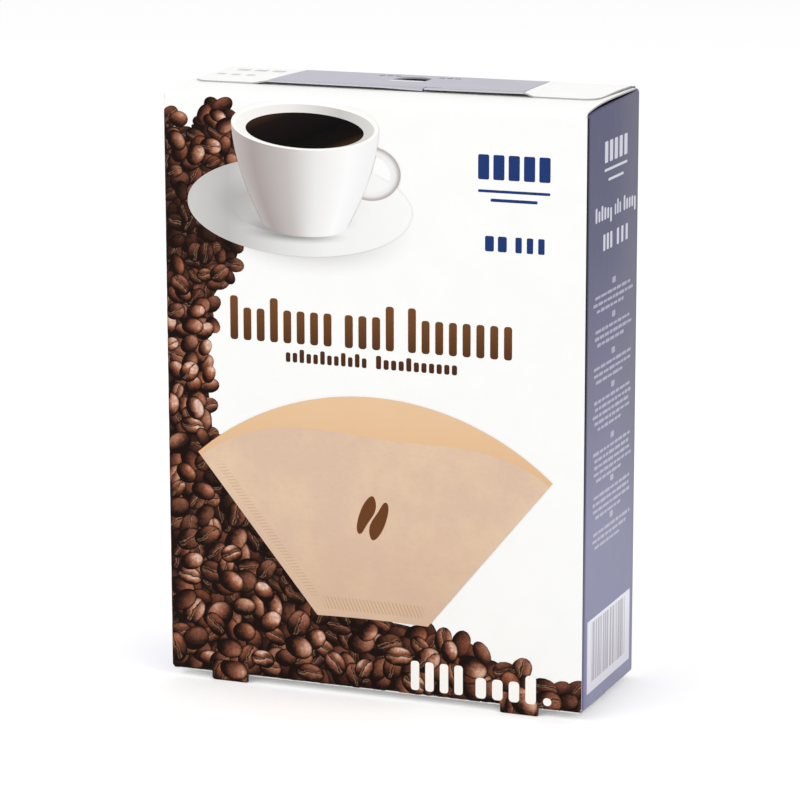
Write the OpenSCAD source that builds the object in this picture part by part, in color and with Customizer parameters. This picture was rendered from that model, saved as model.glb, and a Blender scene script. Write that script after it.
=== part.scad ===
// Closed paperboard folding carton, filled and glued shut at both ends.
// The outer flap of each end is hinged on the rear panel and lies over the flap of the front panel.
// Millimetres. X to the right, Y to the rear, Z up, with the origin under the middle of the carton.

/* [Carton] */
// Width across the front panel
carton_w = 131.4; // [100:0.1:200]
// Depth from the front panel to the rear panel
carton_d = 47.8; // [42:0.1:90]
// Height of the front panel between its two folds
panel_h = 175.2; // [100:0.1:260]
// Thickness of the paperboard
board_t = 0.45; // [0.3:0.05:0.8]
// Outer radius of the four upright folds
crease_r = 0.7; // [0.3:0.1:1.5]
// Width of the open joint line where the blank was glued into a tube
seam_w = 0.35; // [0.2:0.05:1]

/* [Flaps] */
// Radius of the soft fold between the front panel and its flap
fold_r = 1.6; // [1:0.1:3]
// Radius of the sharper folds, behind and at the bottom
sharp_r = 0.9; // [0.5:0.1:2]
// Open gap between the end of a flap and the side panel under it
end_gap = 0.3; // [0.15:0.05:0.8]
// How far that gap runs in towards the middle
gap_run = 2.6; // [1.5:0.1:6]
// How far the inner flap stops short of the side panels
inner_inset = 0.6; // [0.2:0.1:1.2]
// How far the outer flap stops short of the side panels at its free edge
outer_inset = 2.6; // [1.4:0.1:6]
// The same distance at the rear fold
rear_inset = 1.3; // [1:0.1:5]
// Reach of the outer flap from the rear panel to its free edge
outer_reach = 32.2; // [24:0.1:36]
// Radius of the two free corners of the outer flap
flap_corner_r = 4.2; // [1:0.1:8]

/* [Top closure] */
// How much the side panels gain in height from the front fold to the rear
top_rise = 1.8; // [0.6:0.1:3]
// Height by which the unglued middle of the outer flap stands off the inner flap
flap_lift = 0.75; // [0.3:0.05:2]
// Width of that unglued middle
lift_w = 82; // [50:1:90]
// Length of the bend between the lifted middle and each glued end
bend_l = 3.6; // [2:0.1:5]

/* [Thumb tab and tear line] */
// Half the width of the thumb tab, and the radius of its round end
thumb_r = 5.2; // [3:0.1:6]
// Length of the tab from its straight hinge to its round end
thumb_l = 10; // [7:0.1:12]
// Distance from the rear panel to the hinge
thumb_back = 16.3; // [14:0.1:19]
// Sideways place of the tab, measured from the middle
thumb_shift = -0.7; // [-8:0.1:8]
// Angle by which the tab is pushed in
thumb_push = 35; // [10:1:50]
// Slit left open round the tab by the die cut
thumb_gap = 0.3; // [0.1:0.05:0.6]
// Open depth left under the tip of the tab
pit_room = 2; // [1:0.1:6]
// Length of one slit of the tear line
slit_l = 1.8; // [1:0.1:2.5]
// Board left between two slits
slit_bridge = 0.8; // [0.5:0.1:2]
// Width of a slit
slit_w = 0.35; // [0.2:0.05:0.6]
// Number of slits on each side of the tab
slit_n = 3; // [1:1:4]
// Depth of a slit and of a pressed bend
score_d = 0.3; // [0.1:0.05:0.4]
// Width of the small tongue cut into the free edge
tongue_w = 5; // [3:0.1:12]
// Depth of the tongue, measured from the free edge
tongue_d = 2.6; // [1.5:0.1:5]
// Sideways place of the tongue's cut side, measured from the middle
tongue_shift = 9.9; // [4:0.1:14]

/* [Bottom closure] */
// Height of the two feet that stay upright below the front fold
foot_h = 2.2; // [1.6:0.1:4]
// Width of a foot
foot_w = 12; // [6:0.1:20]
// Distance from the side panel to a foot
foot_in = 13.4; // [6:0.1:22]
// Corner radius of a foot
foot_r = 0.9; // [0.3:0.1:1.4]
// How much longer the side panels are at the rear than at the front, at their lower end
low_drop = 0.6; // [0.4:0.1:2]
// Length over which the outer flap runs down from the rear fold to the floor
belly_run = 8; // [4:0.1:12]

/* [Hidden] */

// Colours of the board: bare white coating, printed side, printed field on top, raw cut edge
white_board = [0.95, 0.95, 0.94];
side_ink = [0.46, 0.46, 0.58];
top_ink = [0.80, 0.79, 0.85];
cut_edge = [0.90, 0.88, 0.84];

front_top = foot_h + panel_h;
// How quickly the side panels reach their full height behind the front fold
top_power = 5;
low_power = 2;
curve_steps = 16;
arc_steps = 6;
// Bodies that are joined run this far into each other
weld = 0.2;
// How far the sheet of the bottom's inner flap is drawn on behind the edge of the outer flap
tuck = 2;
// Thickness of the slices between which a bend is spanned
slice = 0.05;
// Height that clears everything on top of the carton
over_top = front_top + top_rise + end_gap + 4 * board_t + 2 * flap_lift;
free_y = carton_d - outer_reach;
lift_x0 = (carton_w - lift_w) / 2;
lift_x1 = lift_x0 + lift_w;

// Upper and lower edge of the side panels at the distance y from the front panel
function side_top(y) = front_top + top_rise * (1 - pow(1 - y / carton_d, top_power));
function side_low(y) = foot_h + low_drop * pow(1 - y / carton_d, low_power);
// Outer face of the inner flap and of the glued outer flap of the top closure
function inner_top(y) = side_top(y) + end_gap + board_t;
function outer_top(y) = inner_top(y) + board_t;
// Lift of the unglued middle: full at the free edge, none at the rear fold
function lift_at(y) = flap_lift * (carton_d - y) / outer_reach;
// Lower face of the bottom's outer flap: flat on the floor, then up to the rear fold in a smooth curve
function belly(y) = let (t = max(0, 1 - (carton_d - y) / belly_run)) (foot_h - board_t) * t * t * (3 - 2 * t);
// Lower face of the bottom's inner flap: down from the front fold until it meets the outer flap
function inner_low(y) = let (t = max(0, 1 - y / free_y)) board_t + (foot_h - board_t) * t * t;

// Distances from the front panel at which a curve is drawn
function steps(y0, y1) = [for (i = [0 : curve_steps]) y0 + (y1 - y0) * i / curve_steps];
// All points but the first, where a curve goes on from another
function after(points) = [for (i = [1 : len(points) - 1]) points[i]];
// Points along an arc, with its angles in degrees
function arc(cx, cy, r, a0, a1) =
    [for (i = [0 : arc_steps]) let (a = a0 + (a1 - a0) * i / arc_steps) [cx + r * cos(a), cy + r * sin(a)]];

// A side view, drawn as points of Y and Z, made solid from x0 to x1
module across(x0, x1, points)
    translate([x0, 0, 0]) rotate([90, 0, 90]) linear_extrude(x1 - x0) polygon(points);

// A plan view made solid over the height from z0 to z1
module upright(z0, z1, points)
    translate([0, 0, z0]) linear_extrude(z1 - z0) polygon(points);

// Plan of the tube: four panels joined by upright folds
function tube_plan() = concat(
    arc(crease_r, crease_r, crease_r, 180, 270),
    arc(carton_w - crease_r, crease_r, crease_r, 270, 360),
    arc(carton_w - crease_r, carton_d - crease_r, crease_r, 0, 90),
    arc(crease_r, carton_d - crease_r, crease_r, 90, 180));

// Plan of an outer flap: a little narrower at its free edge, where its corners are round
function flap_plan() = concat(
    [[carton_w - rear_inset, carton_d + weld], [rear_inset, carton_d + weld]],
    arc(outer_inset + flap_corner_r, free_y + flap_corner_r, flap_corner_r, 180, 270),
    arc(carton_w - outer_inset - flap_corner_r, free_y + flap_corner_r, flap_corner_r, 270, 360));

// The tube with its four panels, cut to the height of the side panels, and the dust flaps under the flaps
module tube() {
    color(side_ink) intersection() {
        upright(0, over_top, tube_plan());
        across(0, carton_w, concat(
            [for (y = steps(0, carton_d - sharp_r)) [y, side_low(y)]],
            [[carton_d, foot_h + sharp_r]],
            [for (y = steps(carton_d, board_t)) [y, side_top(y)]],
            [[0, front_top - fold_r]]));
    }
}

// Joint line on the left side panel, where its cut edge stops short of the rear fold
module seam_cut() {
    translate([-weld, carton_d - crease_r - seam_w, 0])
        cube([weld + board_t / 2, seam_w, over_top]);
}

// Section of a flap that rolls over the soft fold of the front panel
function roll_top() = concat(
    arc(fold_r, inner_top(fold_r) - fold_r, fold_r, 180, 90),
    after([for (y = steps(fold_r, carton_d - sharp_r)) [y, inner_top(y)]]));

// Top inner flap, with the open gap between its ends and the side panels
module top_inner_flap() {
    reach = carton_d - sharp_r;
    color(white_board) {
        across(inner_inset, carton_w - inner_inset, concat(
            [[0, front_top - fold_r - weld]], roll_top(),
            [for (y = steps(reach, fold_r)) [y, inner_top(y) - board_t]],
            [[board_t, front_top - fold_r - weld]]));
        across(gap_run, carton_w - gap_run, concat(
            [[board_t / 2, front_top - fold_r - weld]],
            [for (y = steps(fold_r, reach)) [y, inner_top(y) - board_t / 2]],
            [[reach, front_top - fold_r - weld]]));
    }
}

// Section of the top outer flap, standing off by the share k of the full lift
function outer_section(k) = concat(
    [for (y = steps(free_y, carton_d - 2 * sharp_r)) [y, outer_top(y) + k * lift_at(y)]],
    arc(carton_d - sharp_r, outer_top(carton_d) - sharp_r, sharp_r, 90, 0),
    [[carton_d, side_top(carton_d) - board_t], [carton_d - sharp_r - board_t, side_top(carton_d) - board_t]],
    [for (y = steps(carton_d - 2 * sharp_r, free_y))
        [y, outer_top(y) - board_t - (k > 0 ? 0 : weld) + k * lift_at(y)]]);

// A thin slice of that section, as one side of a bend
module outer_slice(x, k) across(x, x + slice, outer_section(k));

// Top outer flap: glued at both ends, lifted and printed between them
module top_outer_flap() {
    color(white_board) intersection() {
        upright(0, over_top, flap_plan());
        union() {
            across(0, lift_x0 - bend_l + slice, outer_section(0));
            across(lift_x1 + bend_l - slice, carton_w, outer_section(0));
        }
    }
    color(top_ink) {
        across(lift_x0, lift_x1, outer_section(1));
        hull() {
            outer_slice(lift_x0 - bend_l, 0);
            outer_slice(lift_x0, 1);
        }
        hull() {
            outer_slice(lift_x1 - slice, 1);
            outer_slice(lift_x1 + bend_l - slice, 0);
        }
    }
}

// Place of the thumb tab's hinge, and the height of the outer flap there
thumb_x = carton_w / 2 + thumb_shift;
thumb_y = carton_d - thumb_back;
thumb_z = outer_top(thumb_y) + lift_at(thumb_y);
thumb_pit = thumb_l * sin(thumb_push) + board_t + pit_room;

// Plan of the tab: a straight hinge, two straight sides and a round end, drawn in by the gap g
function thumb_plan(g) = concat(
    [[-thumb_r + g, 0], [thumb_r - g, 0]],
    arc(0, thumb_l - thumb_r, thumb_r - g, 0, 180));

// Opening under the thumb tab, through both flaps into the dark of the carton
module thumb_opening() {
    translate([thumb_x, thumb_y, 0])
        upright(thumb_z - thumb_pit, over_top, thumb_plan(0));
}

// The tab itself, pushed in about its hinge
module thumb_tab() {
    color(top_ink) translate([thumb_x, thumb_y, thumb_z - board_t]) rotate([-thumb_push, 0, 0])
        translate([0, -weld, 0]) linear_extrude(board_t) polygon(thumb_plan(thumb_gap));
}

// Slits of the tear line, in a row on both sides of the tab's round end
module tear_slits() {
    pitch = slit_l + slit_bridge;
    for (side = [-1, 1], i = [0 : slit_n - 1])
        translate([thumb_x + side * (thumb_r + slit_bridge + pitch * i + slit_l / 2) - slit_l / 2,
                   thumb_y + thumb_l - slit_w, 0])
            cube([slit_l, slit_w, over_top]);
}

// Bend behind the small tongue at the free edge, and the cut at its left side
tongue_x = carton_w / 2 + tongue_shift;
module tongue_bend() translate([tongue_x, free_y + tongue_d - slit_w, 0]) cube([tongue_w, slit_w, over_top]);
module tongue_cut() translate([tongue_x, free_y - weld, 0]) cube([slit_w, tongue_d + weld, over_top]);

// What lies deeper than d below the lifted part of the outer flap
module deeper(d) {
    across(-weld, carton_w + weld, concat(
        [[0, 0]],
        [for (y = steps(0, carton_d)) [y, outer_top(y) + lift_at(y) - d]],
        [[carton_d, 0]]));
}

// Bottom inner flap and the dust flaps behind it
module bottom_inner_flap() {
    reach = carton_d - sharp_r;
    top = foot_h + low_drop + weld;
    color(white_board) {
        across(inner_inset, carton_w - inner_inset, concat(
            [[0, top]],
            arc(sharp_r, inner_low(sharp_r) + sharp_r, sharp_r, 180, 270),
            after([for (y = steps(sharp_r, free_y + tuck)) [y, inner_low(y)]]),
            [for (y = steps(free_y + tuck, sharp_r)) [y, inner_low(y) + board_t]],
            [[board_t, top]]));
        across(gap_run, carton_w - gap_run, concat(
            [[board_t / 2, top]],
            [for (y = steps(sharp_r, free_y)) [y, inner_low(y) + board_t / 2]],
            [for (y = steps(free_y + tuck, reach)) [y, belly(y) + board_t / 2]],
            [[reach, top]]));
    }
}

// Bottom outer flap: flat on the floor, and rolled up to the rear fold
module bottom_outer_flap() {
    reach = carton_d - sharp_r;
    color(white_board) intersection() {
        upright(0, foot_h + low_drop, flap_plan());
        across(0, carton_w, concat(
            [for (y = steps(free_y, reach)) [y, belly(y)]],
            after(arc(reach, belly(reach) + sharp_r, sharp_r, 270, 360)),
            [[carton_d, foot_h + low_drop], [reach - board_t, foot_h + low_drop]],
            [for (y = steps(reach - board_t, free_y)) [y, belly(y) + board_t]]));
    }
}

// One foot: the part of the front panel that the die cut leaves upright below the fold
module foot(x) {
    color(cut_edge) translate([x, board_t, 0]) rotate([90, 0, 0]) linear_extrude(board_t)
        polygon(concat(
            [[foot_w, foot_h + low_drop + weld], [0, foot_h + low_drop + weld]],
            arc(foot_r, foot_r, foot_r, 180, 270),
            arc(foot_w - foot_r, foot_r, foot_r, 270, 360)));
}

module filter_carton() {
    translate([-carton_w / 2, -carton_d / 2, 0]) {
        difference() {
            union() {
                tube();
                top_inner_flap();
                top_outer_flap();
                bottom_inner_flap();
                bottom_outer_flap();
                foot(foot_in);
                foot(carton_w - foot_in - foot_w);
            }
            seam_cut();
            thumb_opening();
            difference() {
                union() {
                    tear_slits();
                    tongue_bend();
                }
                deeper(score_d);
            }
            difference() {
                tongue_cut();
                deeper(board_t + weld);
            }
        }
        thumb_tab();
    }
}

filter_carton();
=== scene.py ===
"""Closed printed carton for coffee filters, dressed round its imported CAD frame.

Every sheet and print is worked out in millimetres from the carton's left, front, floor corner: x runs to the
right, y to the rear and z up. The mesh maker moves it to the frame's origin and turns it into metres.
"""

import logging
import math
from dataclasses import dataclass, field, fields
from enum import Enum, IntEnum
from functools import partialmethod
from typing import Sequence

import bpy
import numpy as np
from mathutils import Matrix, Vector


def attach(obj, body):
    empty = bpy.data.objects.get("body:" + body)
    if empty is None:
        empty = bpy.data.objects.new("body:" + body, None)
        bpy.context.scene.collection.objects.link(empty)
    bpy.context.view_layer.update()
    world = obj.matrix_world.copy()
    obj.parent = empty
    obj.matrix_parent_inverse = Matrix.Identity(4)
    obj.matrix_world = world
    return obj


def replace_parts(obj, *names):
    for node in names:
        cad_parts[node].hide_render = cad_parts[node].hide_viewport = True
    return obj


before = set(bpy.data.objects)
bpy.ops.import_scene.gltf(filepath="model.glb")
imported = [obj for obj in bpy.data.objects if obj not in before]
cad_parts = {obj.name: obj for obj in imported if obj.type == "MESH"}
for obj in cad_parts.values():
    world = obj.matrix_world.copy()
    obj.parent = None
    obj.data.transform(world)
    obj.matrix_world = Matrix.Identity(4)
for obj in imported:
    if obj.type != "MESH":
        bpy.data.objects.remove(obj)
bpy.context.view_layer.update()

LOG = logging.getLogger("filter_carton")
NODE = "filter_carton"
BODY = "root"
MM = 0.001
QUARTER = math.pi / 2.0
SHARP = math.radians(32.0)  # angle from which an edge of a mesh isn't shaded smooth
ROOF = (172.0, 190.0)  # heights between which a cutter goes through the top flaps

Array = np.ndarray
Number = float | Array
Colour = tuple[float, float, float, float]
Cutter = tuple[Array, list[list[int]]]
Pair = tuple[float, float]
Triple = tuple[float, float, float]
Row = tuple[float, ...]
Profile = tuple[Row, Row]


def ink(red: float, green: float, blue: float) -> Colour:
    """Turns a stored colour of 0 to 255 a channel into the linear colour that a shader takes.

    Args:
        red: Red of the stored colour.
        green: Green of the stored colour.
        blue: Blue of the stored colour.

    Returns:
        Linear red, green and blue, with full cover as the fourth value.
    """
    stored = np.array([red, green, blue]) / 255.0
    linear = np.where(stored <= 0.04045, stored / 12.92, ((stored + 0.055) / 1.055) ** 2.4)
    return (*linear.tolist(), 1.0)


def ease(value: Number) -> Array:
    """Smooth step from 0 to 1: 3t squared less 2t cubed, held at its ends."""
    t = np.clip(value, 0.0, 1.0)
    return t * t * (3.0 - 2.0 * t)


def bell(value: Number) -> Array:
    """Bell curve: e to the power of less the square, which is 1 at nothing and falls to both sides."""
    return np.exp(-(value**2))


def blend(first: Number, second: Number, share: Number) -> Number:
    """Runs straight from the first value to the second as the share goes from 0 to 1."""
    return first * (1 - share) + second * share


def run_of(*stretches: tuple[float, float, int]) -> Array:
    """Joins stretches of evenly spaced places, each given by its start, end and number of steps."""
    parts = [np.linspace(first, last, steps + 1) for first, last, steps in stretches]
    return np.concatenate([parts[0], *(part[1:] for part in parts[1:])])


def grid_of(*parts: Number) -> Array:
    """Points from their coordinates, each one first spread over the whole grid."""
    return np.stack(np.broadcast_arrays(*parts), axis=-1)


def heading(angle: Array) -> Array:
    """Unit vectors of a plane at the given angles: the cosine and the sine."""
    return grid_of(np.cos(angle), np.sin(angle))


def quarter(radius: float, count: int, start: float = 0.0) -> tuple[Array, Array]:
    """Quarter circle of a fold: the radius times one less the cosine, and the radius times the sine."""
    angle = np.radians(np.linspace(start, 90.0, count))
    return radius * (1 - np.cos(angle)), radius * np.sin(angle)


class Side(IntEnum):
    """Which side of a sheet a face belongs to. It is also the number of the material slot."""

    PRINTED = 0
    RAW = 1
    CUT = 2
    INKED = 3
    # walls of openings and slits, painted near-black as their shade
    SHADOW_WALL = 4


@dataclass(frozen=True)
class Blank:
    """The folded blank in millimetres: sizes of the part's source, then the scene's own, and its faces."""

    width: float = 131.4
    depth: float = 47.8
    panel_height: float = 175.2
    board: float = 0.45
    crease: float = 0.7
    joint_gap: float = 0.35
    soft_fold: float = 1.6
    sharp_fold: float = 0.9
    end_gap: float = 0.3
    outer_inset: float = 2.6
    rear_inset: float = 1.3
    outer_reach: float = 32.2
    flap_corner: float = 4.2
    top_rise: float = 1.8
    flap_lift: float = 0.75
    lift_width: float = 82.0
    bend: float = 3.6
    thumb_radius: float = 5.2
    thumb_length: float = 10.0
    thumb_back: float = 16.3
    thumb_shift: float = -0.7
    thumb_push: float = 35.0
    thumb_gap: float = 0.3
    slit_length: float = 1.8
    slit_bridge: float = 0.8
    slit_width: float = 0.35
    slits: int = 3
    tongue_width: float = 5.0
    tongue_depth: float = 2.6
    tongue_shift: float = 9.9
    foot_height: float = 2.2
    foot_width: float = 12.0
    foot_in: float = 13.4
    foot_corner: float = 0.9
    low_drop: float = 0.6
    belly_run: float = 8.0

    left_bend: float = 6.0
    left_rise: float = 0.12
    right_rise: float = 0.30
    hollow: float = 0.34
    hollow_run: float = 15.0
    end_lift: float = 0.06
    rear_lift: float = 0.34
    tear_ridge: float = 0.17
    tongue_cut: float = 0.42
    glue_gap: float = 0.12
    glue_run: float = 12.0
    bulge: float = 0.22
    sag: float = 0.55

    @property
    def front_top(self) -> float:
        """Height of the line at which the front panel turns into its flap."""
        return self.foot_height + self.panel_height

    @property
    def free_y(self) -> float:
        """Distance of the outer flap's free edge from the front panel."""
        return self.depth - self.outer_reach

    @property
    def turned(self) -> float:
        """Distance from the front at which the rear folds start."""
        return self.depth - self.sharp_fold

    @property
    def roll_start(self) -> float:
        """Height at which the soft fold of the front panel starts."""
        return float(self.inner_top(self.soft_fold)) - self.soft_fold

    @property
    def front_low(self) -> float:
        """Height at which the front panel turns under."""
        return self.foot_height + self.sharp_fold

    @property
    def rear_top(self) -> float:
        """Height at which the rear panel turns into the outer flap."""
        return float(self.outer_top(self.depth)) - self.sharp_fold

    @property
    def rear_low(self) -> float:
        """Height at which the rear panel turns under."""
        return float(self.belly(self.turned)) + self.sharp_fold

    @property
    def hinge(self) -> Pair:
        """Middle of the thumb tab's hinge."""
        return self.width / 2.0 + self.thumb_shift, self.depth - self.thumb_back

    @property
    def cut_x(self) -> float:
        """Place of the tongue's cut side."""
        return self.width / 2.0 + self.tongue_shift

    @property
    def feet(self) -> Pair:
        """Left ends of the two feet."""
        return self.foot_in, self.width - self.foot_in - self.foot_width

    def side_top(self, y: Number) -> Array:
        """Top of a side panel: it rises as one less the fifth power of the way left to the rear."""
        return self.front_top + self.top_rise * (1.0 - (1.0 - np.asarray(y) / self.depth) ** 5)

    def side_edge(self, y: Number) -> Array:
        """Crest of a side panel's fold, which sags under the inner flap as a sine does."""
        way = np.clip(np.asarray(y) / self.depth, 0.0, 1.0)
        return self.side_top(y) - self.sag * np.sin(math.pi * way**0.8)

    def side_low(self, y: Number) -> Array:
        """Lower edge of a side panel: it falls with the square of the way left to the rear."""
        return self.foot_height + self.low_drop * (1.0 - np.asarray(y) / self.depth) ** 2

    def inner_top(self, y: Number) -> Array:
        """Outer face of the top inner flap."""
        return self.side_top(y) + self.end_gap + self.board

    def outer_top(self, y: Number) -> Array:
        """Outer face of the glued ends of the top outer flap."""
        return self.inner_top(y) + self.board

    def belly(self, y: Number) -> Array:
        """Lower face of the bottom outer flap: flat, then a smooth step up to the rear fold."""
        return (self.foot_height - self.board) * ease(1.0 - (self.depth - np.asarray(y)) / self.belly_run)

    def inner_low(self, y: Number) -> Array:
        """Lower face of the bottom inner flap: it falls with the square of the way left to the outer flap."""
        t = np.clip(1.0 - np.asarray(y) / self.free_y, 0.0, 1.0)
        return self.board + (self.foot_height - self.board) * t * t

    def glued(self, x: Array) -> Array:
        """How firmly glue holds a bottom flap up: fully at its ends, and not at all between them."""
        return ease((self.glue_run - np.minimum(x, self.width - x)) / (self.glue_run - 3.0))

    def outer_side(self, y: Array) -> Array:
        """How far in the side of an outer flap lies: it slants, and its free corner is a quarter circle.

        Args:
            y: Places from the front to the rear.

        Returns:
            Distance from the plane of the side panel.
        """
        past = np.clip((self.free_y + self.flap_corner - y) / self.flap_corner, 0.0, 1.0)
        slant = np.interp(y, [self.free_y, self.turned], [self.outer_inset, self.rear_inset])
        return slant + self.flap_corner * (1 - np.sqrt(np.maximum(1 - past**2, 0.0)))

    def lift(self, x: Number, y: Number) -> Array:
        """How far the outer flap stands off the inner flap.

        The middle stands off by the full lift at the free edge, a little more at its ends, and by nothing
        at the rear fold. Smooth bends lead to the glued ends, whose rims stand off a little, most towards
        the right rear. Left of the tongue's cut the edge is pressed down in a soft hollow, and behind the
        tear line the board is raised in a low ridge.

        Args:
            x: Places across the flap.
            y: Places from the front to the rear.

        Returns:
            Height above a flap that lies flat.
        """
        half = self.width / 2.0
        x0, x1 = half - self.lift_width / 2.0, half + self.lift_width / 2.0
        share = ease((x - x0 + self.bend) / self.left_bend) * ease((x1 + self.bend - x) / self.bend)
        across = np.clip((x - x0) / self.lift_width, 0.0, 1.0)
        edge = self.flap_lift * (1.0 + self.left_rise * (1.0 - across) ** 4 + self.right_rise * across**5)
        back = np.clip((self.depth - y) / self.outer_reach, 0.0, 1.0)
        pressed = ease((x - self.cut_x) / self.hollow_run + 1.0) * (x < self.cut_x + 0.02)
        hollow = self.hollow * pressed * bell((y - self.free_y) / 2.2)
        rim = ease((9.0 - np.minimum(x, self.width - x)) / 7.0) * ease((self.turned - 0.6 - y) / 3.0)
        rear = (x > half) * ease((y - 22.0) / 14.0)
        ends = rim * blend(self.end_lift, self.rear_lift, rear)
        thumb_x, thumb_y = self.hinge
        away = np.abs(x - thumb_x) - self.thumb_radius - self.slit_bridge
        left = self.slits * (self.slit_length + self.slit_bridge) - away
        behind = bell((y - thumb_y - self.thumb_length - 0.3) / 0.4)
        ridge = ease((away + 0.5) / 0.8) * ease((left + 0.2) / 0.8) * behind
        return share * (edge * back - hollow) + ends + self.tear_ridge * ridge

    def swell(self, across: Array, z: Array) -> Array:
        """How far a panel swells: the product of two parabolas that are nothing at its four folds.

        Args:
            across: Way across the panel, from 0 to 1.
            z: Heights.

        Returns:
            Distance in front of the flat panel.
        """
        u = np.clip(2.0 * across - 1.0, -1.0, 1.0)
        v = np.clip(2.0 * (z - self.front_low) / (self.roll_start - self.front_low) - 1.0, -1.0, 1.0)
        return self.bulge * (1.0 - u * u) * (1.0 - v * v)

    def front_bulge(self, x: Array, z: Array) -> Array:
        """Swell of a wide panel."""
        return self.swell(x / self.width, z)

    def side_bulge(self, y: Array, z: Array) -> Array:
        """Swell of a narrow panel, at half the height."""
        return 0.5 * self.swell(y / self.depth, z)


BLANK = Blank()


@dataclass
class Surface:
    """Points, four-sided faces, a material slot for each face, and values carried by the points."""

    points: Array
    quads: Array
    slots: Array
    values: dict[str, Array] = field(default_factory=dict)

    @staticmethod
    def joined(parts: Sequence["Surface"]) -> "Surface":
        """Puts several surfaces with the same kinds of values into one.

        Args:
            parts: The surfaces.

        Returns:
            One surface with all their points and faces.
        """
        starts = np.cumsum([0] + [len(p.points) for p in parts[:-1]])
        return Surface(
            np.concatenate([p.points for p in parts]),
            np.concatenate([p.quads + s for p, s in zip(parts, starts)]),
            np.concatenate([p.slots for p in parts]),
            {n: np.concatenate([p.values[n] for p in parts]) for n in parts[0].values},
        )


def strip(first: Array, second: Array) -> Array:
    """Faces between two lines of point numbers, anticlockwise where the second line is the upper one."""
    return np.stack([first[:-1], first[1:], second[1:], second[:-1]], axis=-1)


def lattice(rows: int, columns: int) -> Array:
    """Faces of a grid of points stored row by row, seen from the front where the rows run up."""
    number = np.arange(rows * columns).reshape(rows, columns)
    return strip(number[:-1].T, number[1:].T).swapaxes(0, 1).reshape(-1, 4)


def unit(vectors: Array) -> Array:
    """Scales vectors to the length one."""
    return vectors / np.maximum(np.linalg.norm(vectors, axis=-1, keepdims=True), 1e-12)


def along(grid: Array, axis: int) -> Array:
    """Direction of a grid's lines at each point: the sum of the unit steps before and after it.

    Args:
        grid: Points as rows by columns by three.
        axis: Which way the lines run.

    Returns:
        A vector for each point.
    """
    step = unit(np.diff(grid, axis=axis))
    first, last = np.take(step, [0], axis=axis), np.take(step, [-1], axis=axis)
    return np.concatenate([first, step], axis=axis) + np.concatenate([step, last], axis=axis)


def sheet(outer: Array, slots: Array | None = None) -> Surface:
    """Closed sheet of board under a grid of points.

    The normals are the cross product of the line along the columns and the line along the rows. The inner
    face is the outer one moved inwards along them by the thickness, and four rims close it.

    Args:
        outer: Points of the printed face, as rows by columns by three.
        slots: Material slot of each outer face, where it isn't the printed one all over.

    Returns:
        The closed surface.
    """
    inner = outer - BLANK.board * unit(np.cross(along(outer, 1), along(outer, 0)))
    rows, columns = outer.shape[:2]
    face = lattice(rows, columns)
    top = np.arange(rows * columns).reshape(rows, columns)
    under = top + top.size
    rims = np.concatenate([
        strip(under[0], top[0]), strip(top[-1], under[-1]),
        strip(top[:, 0], under[:, 0]), strip(under[:, -1], top[:, -1]),
    ])
    outer_slots = np.full(len(face), Side.PRINTED) if slots is None else slots
    return Surface(
        np.concatenate([outer.reshape(-1, 3), inner.reshape(-1, 3)]),
        np.concatenate([face, face[:, ::-1] + top.size, rims]),
        np.concatenate([outer_slots, np.full(len(face), Side.RAW), np.full(len(rims), Side.CUT)]),
    )


def patch(grid: Array, slot: int = 0, **values: Array) -> Surface:
    """Open patch of print over a grid of points.

    Args:
        grid: Points, as rows by columns by three.
        slot: Material slot of its faces.
        values: Values that its points carry, under their names.

    Returns:
        The patch.
    """
    quads = lattice(*grid.shape[:2])
    flat = {name: value.reshape(len(grid) * grid.shape[1], -1) for name, value in values.items()}
    return Surface(grid.reshape(-1, 3), quads, np.full(len(quads), slot), flat)


def add_object(name: str, data: bpy.types.ID) -> bpy.types.Object:
    """Makes an object and links it into the scene.

    Args:
        name: Its name.
        data: Its mesh, lamp or camera.

    Returns:
        The object.
    """
    made = bpy.data.objects.new(name, data)
    bpy.context.scene.collection.objects.link(made)
    return made


def mesh_of(
    name: str, points: Array, faces: list[list[int]], slots: Array, finishes: Sequence[bpy.types.Material]
) -> bpy.types.Mesh:
    """Makes a mesh in the frame.

    Args:
        name: Its name.
        points: Places in millimetres from the carton's corner.
        faces: Point numbers of each face.
        slots: Material slot of each face.
        finishes: Materials, in the order of the slots.

    Returns:
        The mesh, in metres from the frame's origin.
    """
    mesh = bpy.data.meshes.new(name)
    origin = np.array([BLANK.width / 2.0, BLANK.depth / 2.0, 0.0])
    mesh.from_pydata(((points - origin) * MM).tolist(), [], faces)
    for finish in finishes:
        mesh.materials.append(finish)
    mesh.polygons.foreach_set("material_index", slots.astype(np.int32))
    return mesh


def smooth(mesh: bpy.types.Mesh) -> None:
    """Shades a mesh smooth, up to the angle at which an edge counts as sharp."""
    mesh.shade_smooth()
    mesh.set_sharp_from_angle(angle=SHARP)


def make_piece(name: str, surface: Surface, finishes: Sequence[bpy.types.Material]) -> bpy.types.Object:
    """Makes the object of one piece.

    Args:
        name: Name of the piece.
        surface: Its points, faces, slots and values. The value called uv becomes its print coordinates.
        finishes: Materials, in the order of the slots.

    Returns:
        The object, at the origin of the frame.
    """
    mesh = mesh_of(name, surface.points, surface.quads.tolist(), surface.slots, finishes)
    for key, value in surface.values.items():
        if key == "uv":
            corner = np.empty(len(mesh.loops), dtype=np.int32)
            mesh.loops.foreach_get("vertex_index", corner)
            mesh.uv_layers.new(name="print").data.foreach_set("uv", value[corner].astype(np.float32).ravel())
        else:
            kept = mesh.attributes.new(key, "FLOAT_VECTOR", "POINT")
            kept.data.foreach_set("vector", value.astype(np.float32).ravel())
    smooth(mesh)
    return add_object(name, mesh)


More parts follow.
